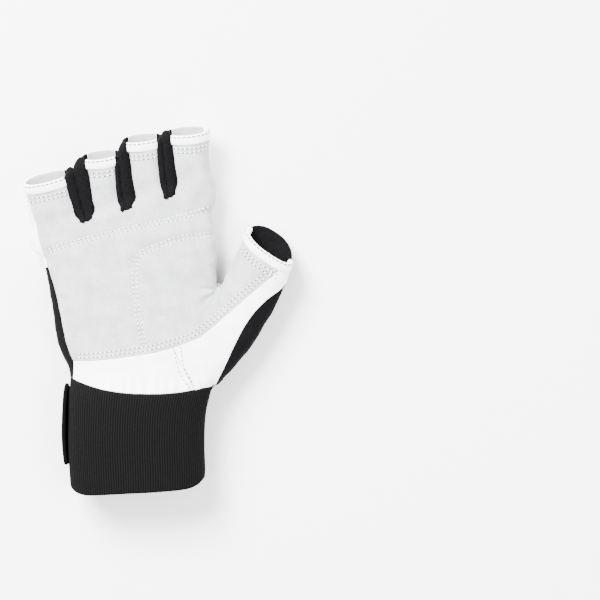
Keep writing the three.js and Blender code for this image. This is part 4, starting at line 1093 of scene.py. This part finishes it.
def band_grid(start, end, top, foot, rows, per_rib=6):
    """A grid round the wrist with columns even in length, and each column's distance along it in ribs."""
    trial = np.linspace(start, end, 721)
    middle = settle(on_body((top(trial) + foot(trial)) / 2, trial), [])
    run = lengths_of(middle)
    ribs = max(round(run[-1] / RIB_PITCH), 2)
    angles = np.interp(np.linspace(0, run[-1], ribs * per_rib + 1), run, trial)
    t = np.linspace(0, 1, rows + 1)[:, None]
    grid = settle(on_body(mix(top(angles)[None], foot(angles)[None], t), angles[None] + 0 * t), [])
    if abs(end - start - 360) < 1e-6:
        grid[:, -1] = grid[:, 0]
    return grid, np.arange(ribs * per_rib + 1) / per_rib, angles, t[:, 0]


def rib_relief(ribs, t, hem=0.05):
    """Rounded upright ribs that fade into a smoother turned hem at both ends."""
    wave = np.abs(np.sin(np.pi * ribs)) ** 0.7
    fade = smooth(t / hem) * smooth((1 - t) / hem)
    return RIB_HEIGHT * wave[None] * (HEM_SHARE + (1 - HEM_SHARE) * fade[:, None])


def band_uv(ribs, t):
    return [np.stack(np.broadcast_arrays(ribs[None], t[:, None]), -1)]


cuff_grid, ribs, angles, t = band_grid(0, 360, lambda a: cuff_seam_y(a) - CUFF_TUCK, hem_y, 44)
cuff_look = {"materials": [RIB_LOOK], "relief": [rib_relief(ribs, t)], "uvs": band_uv(ribs, t)}
cuff = wall("wrist_cuff_ribbed", [(cuff_grid, [])], -ELASTIC, CUFF_SUNK, bevel=BAND_BEVEL, **cuff_look)
finish_piece(cuff, "wrist_cuff")


def strap_piece(name, start, end, look):
    grid, ribs, angles, t = band_grid(start, end, strap_top_y, strap_foot_y, 34)
    bulge = STRAP_BULGE * hump(angles - STRAP_BULGE_ANGLE, STRAP_BULGE_SPREAD)
    off = bulge[None] * np.sin(np.pi * np.clip(t, 0.02, 0.98))[:, None] ** 0.6
    lift = [off + rib_relief(ribs, t)]
    top = CLEARANCE + STRAP - 0.2
    return wall(name, [(grid, [])], CLEARANCE, top, [look], lift, True, band_uv(ribs, t), bevel=BAND_BEVEL)


finish_piece(strap_piece("wrist_strap_ribbed", STRAP_START, STRAP_END, RIB_LOOK), "wrist_strap")
finish_piece(strap_piece("strap_tab_hooks", TAB_START, TAB_END, HOOK_LOOK), "strap_tab")

# ---- stitches ----
STITCH_PITCH, STITCH_LENGTH, STITCH_RADIUS = 2.5, 1.8, 0.27
# Where a thread's outlines lie along it, from end to end
STITCH_SECTIONS = np.array([-1, -0.72, -0.3, 0.3, 0.72, 1.0])
# Radius and depth of a needle hole, and how far from a stitch's middle it lies, in its lengths
HOLE_RADIUS, HOLE_DEPTH, HOLE_AT = 0.46, 0.3, 0.58
# Stitches show where the panel faces up at least this much, between these heights
LEAST_UP, LOWEST, HIGHEST = 0.52, 12, 32
# How far back the two rows of stitches lie from the suede's edge and from the rims
EDGE_ROWS, FINGER_RIM_ROWS, THUMB_RIM_ROWS = (1.8, 3.9), (6.3, 8.4), (6.6, 8.8)
# Degrees that a rim's rows stop short of its seams, the thumb's last angle, and the bindings' own row
FINGER_INSET, THUMB_INSET, THUMB_RUN_END = 6, 14, 150
ON_BINDING, BINDING_TOP = -0.1, 0.74


def stitch_run(points, normals, pitch=STITCH_PITCH):
    """Places of stitches along a line: their middles, directions and normals."""
    run = lengths_of(points)
    count = max(int(run[-1] / pitch), 1)
    at = (np.arange(count) + 0.5) * run[-1] / count
    pick = lambda values, where: np.stack([np.interp(where, run, values[:, k]) for k in range(3)], -1)
    middle, up = pick(points, at), pick(normals, at)
    along = pick(points, at + 0.3) - pick(points, at - 0.3)
    along /= np.linalg.norm(along, axis=1, keepdims=True)
    up -= along * (up * along).sum(1, keepdims=True)
    up /= np.linalg.norm(up, axis=1, keepdims=True)
    return middle, along, up


def copied(faces, count, each):
    """Faces of a small form, repeated for its copies, with each form's number of points."""
    return (faces[None] + (np.arange(count) * each)[:, None, None]).reshape(-1, faces.shape[1])


def stitches(name, runs, length=STITCH_LENGTH, radius=STITCH_RADIUS):
    """Short arched threads, six sided and pinched at both ends, and a shallow hole where each dives in."""
    middle, along, up = (np.concatenate([run[k] for run in runs]) for k in range(3))
    side = np.cross(up, along)
    s = STITCH_SECTIONS
    a = np.radians(np.arange(6) * 60 + 30)
    thick = radius * np.sqrt(np.maximum(1 - s**4, 0.12))
    lx = np.repeat(s * length / 2, 6)
    ly = (thick[:, None] * np.cos(a)).ravel()
    lz = (thick[:, None] * np.sin(a) + radius * 0.75 - 0.3 * s[:, None] ** 4).ravel()
    points = middle[:, None] + along[:, None] * lx[None, :, None] + side[:, None] * ly[None, :, None]
    points = points + up[:, None] * lz[None, :, None]
    ids = np.arange(36).reshape(6, 6)
    right = np.roll(ids, -1, 1)
    quads = np.stack([ids[:-1], ids[1:], right[1:], right[:-1]], -1).reshape(-1, 4)
    first = np.array([[ids[0, 0], ids[0, k], ids[0, k + 1]] for k in range(1, 5)])
    last = np.array([[ids[-1, 0], ids[-1, k + 1], ids[-1, k]] for k in range(1, 5)])
    ends = np.concatenate([first, last])
    faces = [copied(quads, len(middle), 36), copied(ends, len(middle), 36)]
    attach(make_mesh(name, points.reshape(-1, 3), faces, [THREAD_LOOK]), "root")
    reach = along * length * HOLE_AT
    ends = np.concatenate([middle + reach, middle - reach])
    turn = np.concatenate([along, along]), np.concatenate([side, side]), np.concatenate([up, up])
    ring = np.radians(np.arange(8) * 45)
    disc = (np.cos(ring)[:, None] * [1, 0, 0] + np.sin(ring)[:, None] * [0, 1, 0]) * HOLE_RADIUS
    local = np.vstack([[0, 0, 0.12], disc + [0, 0, 0.02], disc * 0.6 - [0, 0, HOLE_DEPTH]])
    cloud = ends[:, None] + sum(turn[k][:, None] * local[None, :, k, None] for k in range(3))
    around, on = np.arange(8) + 1, (np.arange(8) + 1) % 8 + 1
    top = np.stack([np.zeros(8, int), around, on], -1)
    below = np.stack([around, around + 8, on + 8, on], -1)
    base = np.array([[9, 16 - k, 15 - k] for k in range(6)])
    faces = [copied(below, len(ends), 17), copied(np.concatenate([top, base]), len(ends), 17)]
    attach(make_mesh(f"{name}_holes", cloud.reshape(-1, 3), faces, [HOLE_LOOK]), "root")


def plan_run(line, lift=palm_relief):
    """A run of stitches along a plan line, as far as it lies on panels that face up."""
    at = drape(line)
    up = normals_at(at)
    kept = (up[:, 2] > LEAST_UP) & (at[:, 2] > LOWEST) & (at[:, 2] < HIGHEST)
    at, up = at[kept], up[kept]
    return stitch_run(at + up * lift(at)[:, None], up)


quilt_runs = [plan_run(beside(line, side * ROW_SPACE / 2)) for line in QUILTS for side in (-1, 1)]
stitches("quilt_stitches", quilt_runs)
suede_rim = np.vstack([front[0], thumb_front[1:, 0]])[:, :2]
suede_edge = smooth_line(suede_rim[4:-3:9])
stitches("suede_edge_stitches", [plan_run(beside(suede_edge, offset)) for offset in EDGE_ROWS])


def rim_run(limb, angles, back_by, only, lift):
    at = settle(limb.rim(np.linspace(*angles, 60), back_by), only)
    up = normals_at(at, only)
    return stitch_run(at + up * (lift(at) if callable(lift) else np.full(len(at), lift))[:, None], up)


rim_runs = []
for i, finger in enumerate(fingers):
    low, high = front_angles(i)
    inset = FINGER_INSET * np.sign(high - low)
    for back_by in FINGER_RIM_ROWS:
        rim_runs.append(rim_run(finger, (low + inset, high - inset), back_by, [finger], palm_relief))
for back_by in THUMB_RIM_ROWS:
    rim_angles = (THUMB_FRONT_EDGE + THUMB_INSET, THUMB_RUN_END)
    rim_runs.append(rim_run(thumb, rim_angles, back_by, [], palm_relief))
stitches("rim_stitches", rim_runs)
fold_runs = [
    rim_run(finger, front_angles(i), ON_BINDING, [finger], BINDING_TOP) for i, finger in enumerate(fingers)
]
fold_runs.append(rim_run(thumb, (THUMB_STRIP_EDGE, THUMB_INNER_EDGE), ON_BINDING, [], BINDING_TOP))
stitches("binding_stitches", fold_runs, 1.5, 0.2)
stitches("heel_join_stitches", [plan_run(beside(HEEL_STITCHED, o), undulation) for o in (-1.6, 1.6)])

# ---- the cloth and leather as cut ----
# Piece, the cut's width and length in mm, its area in cm2, how it is held, what it is sewn to or lies on,
# and the pieces on it
PALM, BACK, CUFF = ["palm_leather_suede"], ["back_cloth_knit"], ["wrist_cuff_ribbed"]
PALM_STITCHES = ["quilt_stitches", "suede_edge_stitches", "rim_stitches"]
SHEETS = [
    ("palm_leather_suede", 130, 150, 117, "stretched", BACK, PALM_STITCHES),
    ("heel_leather_smooth", 24, 70, 13, "stretched", PALM, ["heel_join_stitches"]),
    ("thumb_strip_smooth", 24, 100, 13.5, "stretched", PALM, []),
    ("knuckle_leather_smooth", 82, 106, 61, "stretched", BACK, []),
    ("back_cloth_knit", 106, 142, 104, "stretched", PALM, []),
    ("gusset_little_ring_knit", 20, 82, 12.7, "folded", PALM, ["little_ring"]),
    ("gusset_ring_middle_knit", 20, 82, 12.7, "folded", PALM, ["ring_middle"]),
    ("gusset_middle_index_knit", 20, 80, 12.4, "folded", PALM, ["middle_index"]),
    ("little_binding_fold", 10, 28, 2.7, "folded", PALM, []),
    ("ring_binding_fold", 10, 20, 1.9, "folded", PALM, []),
    ("middle_binding_fold", 10, 20, 1.9, "folded", PALM, []),
    ("index_binding_fold", 10, 33, 3.2, "folded", PALM, ["binding_stitches"]),
    ("thumb_binding_fold", 10, 49, 4.8, "folded", PALM, []),
    ("wrist_cuff_ribbed", 60, 205, 110, "stretched", BACK, []),
    ("wrist_strap_ribbed", 42, 90, 35, "stretched", CUFF, []),
    ("strap_tab_hooks", 14, 39, 5.2, "laid", CUFF, []),
]
for name, width, length, area, held, rests_on, on_it in SHEETS:
    extra = []
    for piece in on_it:
        if name.startswith("gusset"):
            extra += [f"gusset_{piece}_far_fold", f"gusset_{piece}_near_fold"]
        else:
            extra += [piece, f"{piece}_holes"]

# ---- floor, lights and camera ----
# The middle of the photograph, and how far the floor lies under the cloth that rests on it
SEEN_X, FLOOR_DROP = 0.0935, 0.0005
bpy.ops.mesh.primitive_plane_add(size=4.0, location=(SEEN_X, 0, -FLOOR_DROP))
floor = bpy.context.object
floor.name = "floor"
floor.data.materials.append(new_material("pale_floor", 0xF4F4F4, 0.9)[0])

world = bpy.data.worlds.new("studio")
bpy.context.scene.world = world
world.use_nodes = True
sky = world.node_tree.nodes["Background"].inputs
sky["Color"].default_value, sky["Strength"].default_value = (1, 1, 1, 1), 2.4


def lamp(name, place_at, size, power):
    data = bpy.data.lights.new(name, "AREA")
    data.shape, data.size, data.energy = "SQUARE", size, power
    made = bpy.data.objects.new(name, data)
    bpy.context.scene.collection.objects.link(made)
    made.location = place_at
    made.rotation_mode = "QUATERNION"
    made.rotation_quaternion = (Vector((0.0, 0.0, 0.0)) - Vector(place_at)).to_track_quat("-Z", "Y")


lamp("key_light", (-0.55, 0.75, 1.1), 0.7, 150.0)
lamp("fill_light", (0.9, -0.3, 1.2), 1.0, 34.0)

DISTANCE, SHOWN_WIDTH, SENSOR_WIDTH = 1.3, 0.33, 36.0
camera_data = bpy.data.cameras.new("camera")
camera_data.sensor_width = SENSOR_WIDTH
camera_data.lens = SENSOR_WIDTH * DISTANCE / SHOWN_WIDTH
camera = bpy.data.objects.new("camera", camera_data)
bpy.context.scene.collection.objects.link(camera)
camera.location = (SEEN_X, 0.0, DISTANCE + 0.02)
bpy.context.scene.camera = camera
